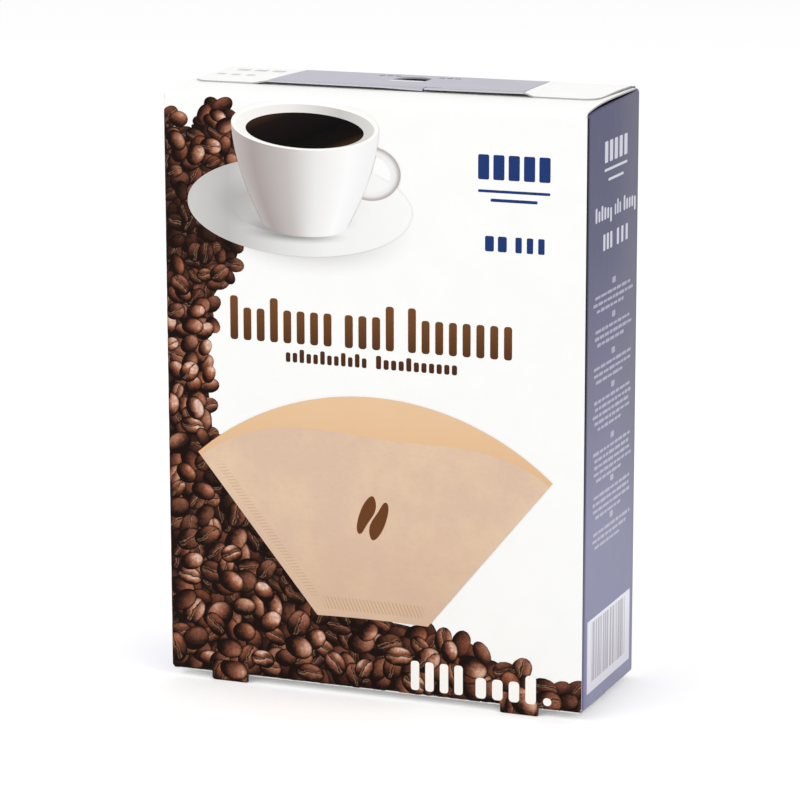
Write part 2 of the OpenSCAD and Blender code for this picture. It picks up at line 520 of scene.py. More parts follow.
def prism(plan: Array, z0: float, z1: float) -> Cutter:
    """Upright prism: a ring of walls and two flat caps.

    Args:
        plan: Its corners, anticlockwise.
        z0: Height of its foot.
        z1: Height of its top.

    Returns:
        Points and faces.
    """
    ring = np.arange(len(plan) + 1) % len(plan)
    points = np.concatenate([np.column_stack([plan, np.full(len(plan), z)]) for z in (z0, z1)])
    caps = [ring[-2::-1].tolist(), (ring[:-1] + len(plan)).tolist()]
    return points, caps + strip(ring, ring + len(plan)).tolist()


def box_plan(x0: float, x1: float, y0: float, y1: float) -> Array:
    """Plan of a right-angled cutter, anticlockwise."""
    return np.array([[x0, y0], [x1, y0], [x1, y1], [x0, y1]])


def pierce(piece: bpy.types.Object, cutters: Sequence[Cutter], wall: Side) -> None:
    """Cuts prisms out of a sheet.

    Args:
        piece: The closed sheet.
        cutters: Points and faces of each prism.
        wall: Finish of the new walls.
    """
    starts = np.cumsum([0] + [len(points) for points, _ in cutters[:-1]]).tolist()
    faces = [[i + start for i in face] for (_, ring), start in zip(cutters, starts) for face in ring]
    points = np.concatenate([points for points, _ in cutters])
    mesh = mesh_of("cutter", points, faces, np.full(len(faces), wall), piece.data.materials)
    tool = add_object("cutter", mesh)
    cut = piece.modifiers.new("die_cut", "BOOLEAN")
    cut.operation = "DIFFERENCE"
    cut.solver = "EXACT"
    cut.object = tool
    bpy.context.view_layer.update()
    done = bpy.data.meshes.new_from_object(piece.evaluated_get(bpy.context.evaluated_depsgraph_get()))
    piece.modifiers.clear()
    before = piece.data
    done.name = before.name + "_cut"
    piece.data = done
    bpy.data.objects.remove(tool)
    for spent in (before, mesh):
        bpy.data.meshes.remove(spent)
    smooth(done)


class Value:
    """Socket of a node tree. Python's signs on it add steps of arithmetic to the tree."""

    def __init__(self, sketch: "Sketch", socket: bpy.types.NodeSocket) -> None:
        """Holds the socket and the tree that it is in."""
        self.sketch, self.socket = sketch, socket

    def then(self, operation: str, *others: "Plug", clamp: bool = False) -> "Value":
        """One step of arithmetic that starts from this value."""
        inputs = dict(enumerate((self, *others)))
        return self.sketch.value("ShaderNodeMath", 0, inputs, operation=operation, use_clamp=clamp)

    # Each of these is one operation. The value's fit is itself times the first number plus the second.
    __add__ = partialmethod(then, "ADD")
    __sub__ = partialmethod(then, "SUBTRACT")
    __mul__ = partialmethod(then, "MULTIPLY")
    __truediv__ = partialmethod(then, "DIVIDE")
    __abs__ = partialmethod(then, "ABSOLUTE")
    fit = partialmethod(then, "MULTIPLY_ADD")
    most = partialmethod(then, "MAXIMUM")
    root = partialmethod(then, "SQRT")
    sine = partialmethod(then, "SINE")
    sign = partialmethod(then, "SIGN")

    def rest(self) -> "Value":
        """One less the value."""
        return self.sketch.value("ShaderNodeMath", 0, {0: 1.0, 1: self}, operation="SUBTRACT")

    def step(self, low: float, high: float) -> "Value":
        """Smooth step from 0 at the one bound to 1 at the other."""
        inputs = {"Value": self, "From Min": low, "From Max": high}
        return self.sketch.value("ShaderNodeMapRange", "Result", inputs, interpolation_type="SMOOTHSTEP")

    def band(self, low: float, full: float, high: float, falling: float) -> "Value":
        """Rises from the first bound to the second, and falls to the third from the fourth."""
        return self.step(low, full) * self.step(high, falling)

    def far(self, other: "Value") -> "Value":
        """Distance of a place from the middle: the root of the sum of the squares of its two ways."""
        return (self * self + other * other).root()


Plug = Value | float | Sequence[float]
Inputs = dict[str | int, Plug]


class Sketch:
    """Short hand for the node tree of a material or of the world."""

    def __init__(self, name: str, world: bool = False) -> None:
        """Starts the tree with a surface shader and an output.

        Args:
            name: Name of the material or the world.
            world: Whether it is a world.
        """
        self.owner = (bpy.data.worlds if world else bpy.data.materials).new(name)
        self.owner.use_nodes = True
        self.tree = self.owner.node_tree
        self.tree.nodes.clear()
        self.shader = self.node("ShaderNodeBackground" if world else "ShaderNodeBsdfPrincipled")
        surface = {"Surface": Value(self, self.shader.outputs[0])}
        self.node("ShaderNodeOutputWorld" if world else "ShaderNodeOutputMaterial", surface)

    def plug(self, where: bpy.types.NodeSocket, value: Plug) -> None:
        """Links a value, or sets a plain one.

        Args:
            where: The input of a node.
            value: What goes into it.
        """
        if isinstance(value, Value):
            self.tree.links.new(value.socket, where)
        else:
            where.default_value = value

    def set(self, **values: Plug) -> None:
        """Sets inputs of the surface shader. An underscore stands for a space in a name."""
        for name, value in values.items():
            self.plug(self.shader.inputs[name.replace("_", " ")], value)

    def node(self, kind: str, inputs: Inputs | None = None, **settings: object) -> bpy.types.Node:
        """Adds a node.

        Args:
            kind: Its type.
            inputs: What goes into its inputs, by their names or numbers.
            settings: Its settings.

        Returns:
            The node.
        """
        made = self.tree.nodes.new(kind)
        for name, setting in settings.items():
            setattr(made, name, setting)
        for name, value in (inputs or {}).items():
            self.plug(made.inputs[name], value)
        return made

    def value(self, kind: str, output: str | int, inputs: Inputs, **settings: object) -> Value:
        """Adds a node and gives one of its outputs."""
        return Value(self, self.node(kind, inputs, **settings).outputs[output])

    def mix(self, share: Plug, first: Plug, second: Plug) -> Value:
        """Mixes two colours."""
        return self.value("ShaderNodeMix", 2, {"Factor": share, 6: first, 7: second}, data_type="RGBA")

    def scale(self, vector: Plug, by: Plug) -> Value:
        """Multiplies a place or a colour by a factor."""
        first = vector if isinstance(vector, Value) else vector[:3]
        return self.value("ShaderNodeVectorMath", 0, {0: first, "Scale": by}, operation="SCALE")

    def ramp(self, value: Value, *stops: tuple[float, Colour]) -> Value:
        """Runs a value through a row of colours.

        Args:
            value: The value, from 0 to 1.
            stops: Place and colour of each stop.

        Returns:
            The colour.
        """
        node = self.node("ShaderNodeValToRGB", {"Fac": value})
        bar = node.color_ramp.elements
        while len(bar) < len(stops):
            bar.new(0.5)
        for element, (place, colour) in zip(bar, stops):
            element.position = place
            element.color = colour
        return Value(self, node.outputs["Color"])

    def object_place(self) -> Value:
        """Object coordinates, in metres."""
        return self.value("ShaderNodeTexCoord", "Object", {})

    def split(self, vector: Value) -> tuple[Value, Value, Value]:
        """The three numbers of a vector."""
        return tuple(Value(self, part) for part in self.node("ShaderNodeSeparateXYZ", {0: vector}).outputs)

    def place(self) -> tuple[Value, Value, Value]:
        """Place in the frame, in millimetres."""
        return self.split(self.scale(self.object_place(), 1.0 / MM))

    def uv(self) -> tuple[Value, Value, Value]:
        """The piece's own print coordinates as two values, and a third one that is nothing."""
        return self.split(self.value("ShaderNodeUVMap", 0, {}, uv_map="print"))

    def carried(self, name: str) -> tuple[Value, Value, Value]:
        """Three values that the piece's points carry."""
        return self.split(self.value("ShaderNodeAttribute", "Vector", {}, attribute_name=name))

    def noise(
        self, size: float, detail: float = 3.0, rough: float = 0.55, stretch: Sequence[float] = (1, 1, 1)
    ) -> Value:
        """Cloudy noise on Object coordinates.

        Args:
            size: Width of its patches in millimetres.
            detail: Number of finer layers.
            rough: How strong the finer layers are.
            stretch: Factor of the width along each axis.

        Returns:
            The noise, from 0 to 1.
        """
        scale = [1.0 / (MM * size * s) for s in stretch]
        place = self.value("ShaderNodeMapping", 0, {"Scale": scale, "Vector": self.object_place()})
        inputs = {"Scale": 1.0, "Detail": detail, "Roughness": rough, "Vector": place}
        return self.value("ShaderNodeTexNoise", "Fac", inputs)

    def bump(self, height: Value, depth: float) -> None:
        """Raises the surface by a height of 0 to 1 times a depth in millimetres."""
        inputs = {"Strength": 1.0, "Distance": depth * MM, "Height": height}
        self.set(Normal=self.value("ShaderNodeBump", 0, inputs))

    def seen(self) -> Value:
        """Tells what the camera and mirrors see from the light that falls on things.

        Returns:
            1 for the first and 0 for the second.
        """
        path = self.node("ShaderNodeLightPath")
        names = ("Is Camera Ray", "Is Glossy Ray", "Is Transmission Ray")
        camera, glossy, transmission = (Value(self, path.outputs[name]) for name in names)
        return camera.most(glossy).most(transmission)


@dataclass(frozen=True)
class Coat:
    """Coated face of the board: gloss, fine grain and cloudiness shared by bare and printed areas."""

    rough: float = 0.42
    rough_spread: float = 0.10
    grain: float = 0.012
    cloud: float = 0.02
    gloss: float = 0.06
    refraction: float = 1.46

    def finish(self, sketch: Sketch, colour: Plug) -> bpy.types.Material:
        """Lays a colour on the coated board.

        Args:
            sketch: The material's node tree.
            colour: Colour of the ink or of the bare coating.

        Returns:
            The finished material.
        """
        shade = sketch.noise(9.0).fit(2.0 * self.cloud, 1.0 - self.cloud)
        streak = sketch.noise(2.2, 2.0, 0.5, (1.0, 1.0, 4.0))
        roughness = streak.fit(self.rough_spread, self.rough - self.rough_spread / 2.0)
        sketch.set(Base_Color=sketch.scale(colour, shade), Roughness=roughness)
        sketch.set(IOR=self.refraction, Specular_IOR_Level=self.gloss)
        sketch.bump(sketch.noise(0.28, 4.0, 0.6), self.grain)
        return sketch.owner


@dataclass(frozen=True)
class Coated:
    """Base of the finishes that lie on a coat. Each one works out its own colour."""

    name: str
    coat: Coat = field(default=Coat(), kw_only=True)

    def tint(self, sketch: Sketch) -> Plug:
        """Works the colour out in the material's node tree."""
        raise NotImplementedError

    def make(self) -> bpy.types.Material:
        """Makes the material."""
        sketch = Sketch(self.name)
        return self.coat.finish(sketch, self.tint(sketch))


@dataclass(frozen=True)
class BareCoating(Coated):
    """White coated board without print."""

    name: str = "white_coating"
    colour: Colour = ink(247, 247, 245)

    def tint(self, sketch: Sketch) -> Plug:
        """The plain colour."""
        return self.colour


@dataclass(frozen=True)
class SideInk(Coated):
    """Blue grey side ink: deeper above, greyer to the rear, with painted shade at the rear and front folds.
    """

    name: str = "blue_grey_ink"
    top: Colour = ink(85, 85, 116)
    upper: Colour = ink(91, 92, 120)
    middle: Colour = ink(120, 117, 144)
    low: Colour = ink(145, 145, 173)
    violet: Colour = ink(122, 114, 162)
    grey: Colour = ink(119, 119, 129)
    # painted shade: the dark tone that the ink takes in the front fold
    fold: Colour = ink(30, 29, 42)
    stops: Row = (0.04, 0.30, 0.55, 0.78, 0.97)
    violet_share: float = 0.55
    grey_share: float = 0.5
    # painted shade: how much darker the ink grows along the rear fold
    rear_shade: float = 0.10
    fold_reach: Pair = (2.4, 0.7)
    coat: Coat = Coat(rough=0.38, cloud=0.03)

    def tint(self, sketch: Sketch) -> Plug:
        """Works the colour out from the height and the distances to the front fold and to the rear.

        Args:
            sketch: The material's node tree.

        Returns:
            The colour.
        """
        _, y, z = sketch.place()
        tones = (self.low, self.low, self.middle, self.upper, self.top)
        base = sketch.ramp(z / BLANK.front_top, *zip(self.stops, tones))
        front = -BLANK.depth / 2.0
        low = z.step(46.0, 6.0) * y.step(front + 9.0, front)
        base = sketch.mix(low * self.violet_share, base, self.violet)
        rear = y.step(-6.0, -front) * z.step(20.0, 90.0)
        base = sketch.mix(rear * self.grey_share, base, self.grey)
        # painted shade: darker strip along the rear fold
        base = sketch.scale(base, (y.step(20.0, 23.4) * self.rear_shade).rest())
        # painted shade: the ink darkens into the front fold, less so towards the bottom
        begin, full = self.fold_reach
        edge = y.step(front + begin, front + full) * z.step(-60.0, 120.0)
        return sketch.mix(edge, base, self.fold)


@dataclass(frozen=True)
class TopField(Coated):
    """White outer flap with a pale lavender field over its middle."""

    name: str = "lavender_field"
    bare: Colour = ink(246, 246, 244)
    field: Colour = ink(184, 182, 193)
    # painted shade: dark tone of the shade lines at the field's right end, the free edge's bend and the cut
    painted_shade: Colour = ink(58, 55, 62)
    left: float = 26.3
    right: float = 107.0
    lean: float = 0.09
    # painted highlight: how far the lip in front of the thumb opening is laid pale
    lip_highlight: float = 0.6
    blur: float = 0.12
    # painted shade: strength of the dark line where the lifted middle bends down at the field's right end
    rim_share: float = 0.26
    # painted shade: how much darker the bend at the free edge is
    edge_shade_share: float = 0.08
    # painted shadow: strength of the dark line in the tongue's cut
    cut_shadow_share: float = 0.85

    def tint(self, sketch: Sketch) -> Plug:
        """Lays the field, which ends in a soft line at each side, and at the right in a line of painted
        shade.

        The thumb tab's bent lip takes the bare board's colour as a painted highlight, the tongue's cut gets
        a dark line of painted shadow, and the bend at the free edge is darker with painted shade.

        Args:
            sketch: The material's node tree.

        Returns:
            The colour.
        """
        x, y, _ = sketch.place()
        half, front = BLANK.width / 2.0, BLANK.free_y - BLANK.depth / 2.0
        left, right = self.left - half, self.right - half
        slanted = x + y.fit(self.lean, -self.lean * front)
        begun = x.step(left - self.blur, left + self.blur)
        inside = begun * slanted.step(right + self.blur, right - self.blur)
        tint = sketch.scale(self.field, sketch.noise(14.0, 2.0).fit(0.08, 0.96))
        # painted shade: dark line at the field's right end, over the bend of the lifted middle
        rim = abs(slanted - (right - 0.4)).step(0.5, 0.2)
        tint = sketch.mix(rim * self.rim_share, tint, self.painted_shade)
        # painted shade: darker band in the bend just behind the free edge
        tint = sketch.mix(y.step(front + 4.2, front + 1.6) * self.edge_shade_share, tint, self.painted_shade)
        off = y - (BLANK.depth / 2.0 - BLANK.thumb_back)
        # painted highlight: the lip in front of the thumb opening is laid in the bare board's pale colour
        lip = abs(x - BLANK.thumb_shift).step(5.8, 4.4) * off.band(-3.4, -1.0, 1.1, 0.2)
        tint = sketch.mix(lip * self.lip_highlight, tint, self.bare)
        end = front + BLANK.tongue_depth
        # painted shadow: dark line along the tongue's cut, where the gap below is in shade
        painted_shade = abs(x - (BLANK.tongue_shift + BLANK.tongue_cut / 2.0)).step(0.55, 0.3)
        tint = sketch.mix(painted_shade * y.step(end + 0.5, end + 0.2) * self.cut_shadow_share, tint, self.painted_shade)
        return sketch.mix(inside, self.bare, tint)


@dataclass(frozen=True)
class Fibre:
    """Uncoated board, as its inner face and its cut edges show: short fibres and faint specks."""

    name: str
    colour: Colour
    speck: Colour
    length: float = 1.6
    rough: float = 0.85

    def make(self) -> bpy.types.Material:
        """Makes the material from two noises, one drawn out along the board's grain.

        Returns:
            The material.
        """
        sketch = Sketch(self.name)
        strands = sketch.noise(self.length * 0.35, 4.0, 0.65, (1.0, 1.0, 3.0))
        share = strands.fit(0.6, sketch.noise(self.length, 2.0) * 0.4).step(0.42, 0.72)
        colour = sketch.mix(share, self.colour, self.speck)
        sketch.set(Base_Color=colour, Roughness=self.rough, Specular_IOR_Level=0.1)
        sketch.bump(strands, 0.03)
        return sketch.owner


@dataclass(frozen=True)
class FlatInk(Coated):
    """One printed colour that fades from a lower to an upper tone over a stretch of height."""

    low: Colour
    high: Colour
    z_low: float = 0.0
    z_high: float = 180.0

    def tint(self, sketch: Sketch) -> Plug:
        """Fades between the tones with the height."""
        return sketch.mix(sketch.place()[2].step(self.z_low, self.z_high), self.low, self.high)


@dataclass(frozen=True)
class BeanInk(Coated):
    """Printed beans. The coordinates of each run from -1 to 1 over its oval, and past it in its ring."""

    name: str = "bean_print"
    deep: Colour = ink(24, 12, 8)
    dark: Colour = ink(58, 33, 24)
    mid: Colour = ink(116, 64, 44)
    light: Colour = ink(188, 122, 90)
    pale: tuple[Colour, Colour] = (ink(122, 76, 58), ink(190, 138, 112))
    shine: Colour = ink(234, 206, 190)
    chaff: Colour = ink(196, 150, 116)
    red_stops: Row = (0.08, 0.32, 0.60, 0.88)
    pale_stops: Row = (0.08, 0.30, 0.56, 0.84)
    crease_turn: float = 2.7
    crease_line: Pair = (0.11, 0.03)
    crease_flank: Pair = (0.24, 0.10)
    crease_end: Pair = (0.96, 0.78)
    crease_share: float = 0.92
    chaff_share: float = 0.42
    lobe_middle: float = 0.42
    lobe_scale: float = 1.45
    dome: float = 0.92
    lamp_height: float = 0.62
    shine_level: Pair = (0.74, 0.96)
    shine_share: float = 0.85
    rim: Pair = (0.84, 1.0)
    rim_share: float = 0.55
    coat: Coat = Coat(cloud=0.0)

    def tint(self, sketch: Sketch) -> Plug:
        """Shades each bean.

        A bean without a crease is shaded as a dome, as the dot product of its normal with the carried light.
        One with a crease is shaded as two lobes either side of a dark line that bends like an S.

        Args:
            sketch: The material's node tree.

        Returns:
            The colour.
        """
        u, v, _ = sketch.uv()
        light_x, light_y, kind = sketch.carried("bean_light")
        tone, warm, seed = sketch.carried("bean_tone")
        radius = u.far(v)
        u = u + sketch.noise(2.4, 2.0).fit(0.7, -0.35)
        v = v + sketch.noise(1.9, 2.0, 0.5, (1.2, 1.0, 0.8)).fit(0.6, -0.3)
        off = v - (u * self.crease_turn).sine() * seed.fit(0.22, 0.05)
        lobe = off - off.sign() * self.lobe_middle
        across = lobe * self.lobe_scale * kind + v * kind.rest()
        up = (u * u + across * across).fit(-self.dome, 1.0).most(0.03).root()
        lit = u * light_x + across * light_y + up * self.lamp_height
        lit = lit * tone + sketch.noise(0.7).fit(0.3, -0.15)
        level = lit.then("MULTIPLY", 1.0, clamp=True)
        red, pale = (self.deep, self.dark, self.mid, self.light), (self.deep, self.dark, *self.pale)
        red = sketch.ramp(level, *zip(self.red_stops, red))
        pale = sketch.ramp(level, *zip(self.pale_stops, pale))
        colour = sketch.mix(warm, red, pale)
        spots = sketch.noise(1.1, 2.0).step(0.42, 0.62).fit(0.6, 0.4)
        colour = sketch.mix(lit.step(*self.shine_level) * spots * self.shine_share, colour, self.shine)
        way = abs(off)
        shown = kind * radius.step(*self.crease_end)
        flank = way.step(*self.crease_flank) * (spots * self.chaff_share)
        colour = sketch.mix(flank * shown, colour, self.chaff)
        colour = sketch.mix(way.step(*self.crease_line) * shown * self.crease_share, colour, self.deep)
        colour = sketch.mix(radius.step(*self.rim) * self.rim_share, colour, self.deep)
        return sketch.mix(radius.step(1.0, 1.03), colour, self.deep)


@dataclass(frozen=True)
class BedInk(Coated):
    """Dark ground between the beans, with half-hidden ones hinted at."""

    name: str = "bean_ground"
    deep: Colour = ink(24, 14, 11)
    brown: Colour = ink(92, 60, 45)
    coat: Coat = Coat(cloud=0.0)

    def tint(self, sketch: Sketch) -> Plug:
        """Brown in the patches of a noise, each the size of a half-hidden bean."""
        return sketch.ramp(sketch.noise(3.2, 3.0, 0.5), (0.45, self.deep), (0.72, self.brown))


@dataclass(frozen=True)
class KraftInk(Coated):
    """Printed picture of a kraft paper cone, cloudy and with slanted marks of its pressed seams."""

    name: str = "kraft_print"
    paper: Colour = ink(217, 187, 164)
    edge: Colour = ink(206, 174, 148)
    warm: Colour = ink(225, 197, 168)
    mark: Colour = ink(186, 148, 108)
    pitch: float = 1.15
    foot_left: float = 49.0
    foot_right: float = 83.4
    foot_low: float = 26.0
    foot_high: float = 30.2
    corner: Pair = (48.2, 23.8)
    slope: Pair = (0.773, 0.634)
    side_band: Row = (2.0, 2.4, 4.9, 4.3)
    side_run: Row = (3.0, 8.0, 57.0, 50.0)
    fibre_share: float = 0.35
    shade_share: float = 0.5
    stripe_share: float = 0.6
    tick_share: float = 0.4
    coat: Coat = Coat(cloud=0.0)

    def tint(self, sketch: Sketch) -> Plug:
        """Works out the paper and the marks of the seams at its foot and along its left side.

        A seam's marks are a sine across a slanted coordinate, kept to its band. The left side starts at the
        lower left corner, and the depth and the run are the ways across it and along it.

        Args:
            sketch: The material's node tree.

        Returns:
            The colour.
        """
        x, _, z = sketch.place()
        half, turn = BLANK.width / 2.0, 2.0 * math.pi / self.pitch
        cloudy, fibre = sketch.noise(16.0, 4.0, 0.6), sketch.noise(1.1, 4.0, 0.65, (2.2, 1.0, 1.0))
        colour = sketch.mix(cloudy.step(0.35, 0.70), self.paper, self.warm)
        colour = sketch.mix(fibre.step(0.45, 0.8) * self.fibre_share, colour, self.edge)
        colour = sketch.mix(z.step(62.0, 24.0) * self.shade_share, colour, self.edge)
        stripe = ((x + z * 0.45) * turn).sine().step(0.0, 0.7)
        left, right = self.foot_left - half, self.foot_right - half
        low, high = self.foot_low, self.foot_high
        foot = z.band(low, low + 0.3, high, high - 0.5) * x.band(left, left + 3.0, right, right - 3.0)
        colour = sketch.mix(foot * stripe * self.stripe_share, colour, self.mark)
        over, above = x - (self.corner[0] - half), z - self.corner[1]
        rise, fall = self.slope
        deep, run = over * rise + above * fall, above * rise - over * fall
        ticks = (deep.fit(0.6, run) * turn).sine().step(0.0, 0.7)
        side = deep.band(*self.side_band) * run.band(*self.side_run)
        return sketch.mix(side * ticks * self.tick_share, colour, self.mark)


@dataclass(frozen=True)
class ShadeInk(Coated):
    """Printed picture of white china: a tone that runs from one side of a shape to the other."""

    stops: tuple[tuple[float, float, float, float], ...]
    turn: float = 0.0
    spots: tuple[tuple[float, float, float, float, float], ...] = ()
    shade: Colour = ink(140, 138, 136)
    coat: Coat = field(default=Coat(cloud=0.0), kw_only=True)

    def tint(self, sketch: Sketch) -> Plug:
        """Runs through the stops along a line turned by an angle, then lays the soft spots.

        Each stop is a place, a red, a green and a blue. Each spot has its middle, its two half axes and its
        strength, and fades to nothing at its rim.

        Args:
            sketch: The material's node tree.

        Returns:
            The colour.
        """
        u, v, _ = sketch.uv()
        turn = math.radians(self.turn)
        way = u * math.cos(turn) + v * math.sin(turn)
        colour = sketch.ramp(way.fit(0.5, 0.5), *((place, ink(*tone)) for place, *tone in self.stops))
        for x, y, a, b, strength in self.spots:
            far = ((u - x) / a).far((v - y) / b)
            colour = sketch.mix(far.step(1.0, 0.1) * strength, colour, self.shade)
        return colour


class Finish(Enum):
    """Every finish of the carton and of its print."""

    WHITE = BareCoating()
    SIDE = SideInk()
    TOP = TopField()
    # painted shadow: near-black face of the top dust flaps, for the shade under the top flaps
    DARK = FlatInk("dark_fold_ink", ink(26, 26, 38), ink(30, 30, 44))
    RAW = Fibre("raw_board", ink(170, 165, 157), ink(146, 141, 134))
    CUT = Fibre("cut_edge", ink(182, 180, 180), ink(158, 156, 156), 0.5)
    # painted highlight: paler, lavender-grey cut face of the free edge under the field, as if lit
    HIGHLIT_EDGE = Fibre("painted_highlight_edge", ink(204, 202, 210), ink(184, 182, 190), 0.5)
    # painted shadow: near-black cut walls of the thumb opening and the slits, for the shade in them
    SHADOW_WALL = Fibre("painted_shadow_edge", ink(38, 37, 42), ink(24, 23, 27), 0.5)
    BEANS = BeanInk()
    BED = BedInk()
    KRAFT = KraftInk()
    KRAFT_BACK = FlatInk("kraft_back_print", ink(224, 182, 140), ink(229, 193, 154), 66.0, 92.0)
    TITLE = FlatInk("brown_print", ink(70, 40, 24), ink(114, 72, 40), 98.0, 120.0)
    NUMERAL = FlatInk("russet_print", ink(104, 62, 34), ink(108, 66, 38))
    NAVY = FlatInk("navy_print", ink(33, 56, 112), ink(33, 56, 112))
    WHITE_BAR = FlatInk("white_print", ink(250, 247, 242), ink(250, 248, 244))
    HAIRLINE = FlatInk("pale_print", ink(192, 190, 206), ink(172, 172, 192), 40.0, 130.0)
    SIDE_MARK = FlatInk("pale_mark_print", ink(212, 212, 224), ink(212, 212, 224))
    FLAP_MARK = FlatInk("flap_print", ink(206, 206, 210), ink(206, 206, 210))
    LABEL = FlatInk("label_print", ink(226, 223, 232), ink(240, 240, 248), 5.0, 30.0)
    LABEL_BAR = FlatInk("label_bar_print", ink(180, 176, 184), ink(196, 193, 202), 5.0, 30.0)
    SAUCER = ShadeInk(
        "saucer_print",
        ((0.02, 200, 199, 197), (0.18, 186, 184, 182), (0.42, 218, 218, 216),
         (0.62, 236, 236, 234), (1.0, 244, 244, 242)),
        spots=((-0.12, -0.22, 0.55, 0.42, 0.85), (-0.45, 0.05, 0.4, 0.6, 0.4),
               (-0.04, -0.56, 0.52, 0.2, 0.95)),
    )
    SOFT_SHADE = ShadeInk(
        "soft_shade_print", ((0.0, 247, 247, 245), (1.0, 247, 247, 245)),
        spots=((0.0, 0.0, 1.0, 1.0, 0.8),), shade=ink(176, 174, 172), coat=Coat(),
    )
    SAUCER_WELL = ShadeInk(
        "saucer_well_print",
        ((0.0, 176, 174, 172), (0.35, 196, 195, 193), (0.7, 232, 232, 230), (1.0, 240, 240, 238)), -20.0,
        spots=((0.0, -0.35, 0.9, 0.6, 0.8), (-0.2, -0.75, 0.85, 0.5, 0.9)),
    )
    CUP = ShadeInk(
        "cup_print",
        ((0.0, 188, 181, 178), (0.14, 166, 156, 153), (0.38, 192, 186, 184),
         (0.58, 232, 230, 229), (0.80, 246, 246, 246), (1.0, 236, 236, 236)),
    )
    CUP_INSIDE = ShadeInk(
        "cup_inside_print",
        ((0.0, 244, 242, 238), (0.4, 232, 230, 226), (0.75, 196, 194, 190), (1.0, 214, 212, 208)),
    )
    COFFEE = ShadeInk(
        "coffee_print",
        ((0.0, 58, 36, 24), (0.16, 22, 14, 12), (0.6, 5, 4, 4), (0.88, 14, 8, 5), (1.0, 62, 38, 22)), -35.0,
    )

    @property
    def material(self) -> bpy.types.Material:
        """The finish's material, made when it is first asked for."""
        return bpy.data.materials.get(self.value.name) or self.value.make()


def keep(
    name: str, surface: Surface, *kinds: Finish, cuts: Sequence[tuple[list[Cutter], Side]] = ()
) -> bpy.types.Object:
    """Makes one piece of the carton, cuts it, lets it ride on the body and reports it.

    Args:
        name: Name of the piece.
        surface: Its points and faces.
        kinds: Finishes, in the order of the slots.
        cuts: Cutters, with the slot of the walls that they leave.

    Returns:
        The piece.
    """
    piece = make_piece(name, surface, [kind.material for kind in kinds])
    for cutters, wall in cuts:
        pierce(piece, cutters, wall)
    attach(piece, BODY)
    LOG.info("%s: %d faces", piece.name, len(piece.data.polygons))
    return piece


class Stretch(IntEnum):
    """Stretches of the plan line. The even ones are straight, and each odd one is the fold after it."""

    LEFT = 0
    FRONT_LEFT = 1
    FRONT = 2
    FRONT_RIGHT = 3
    RIGHT = 4
    REAR_RIGHT = 5
    REAR = 6
    REAR_LEFT = 7
    GLUE = 8


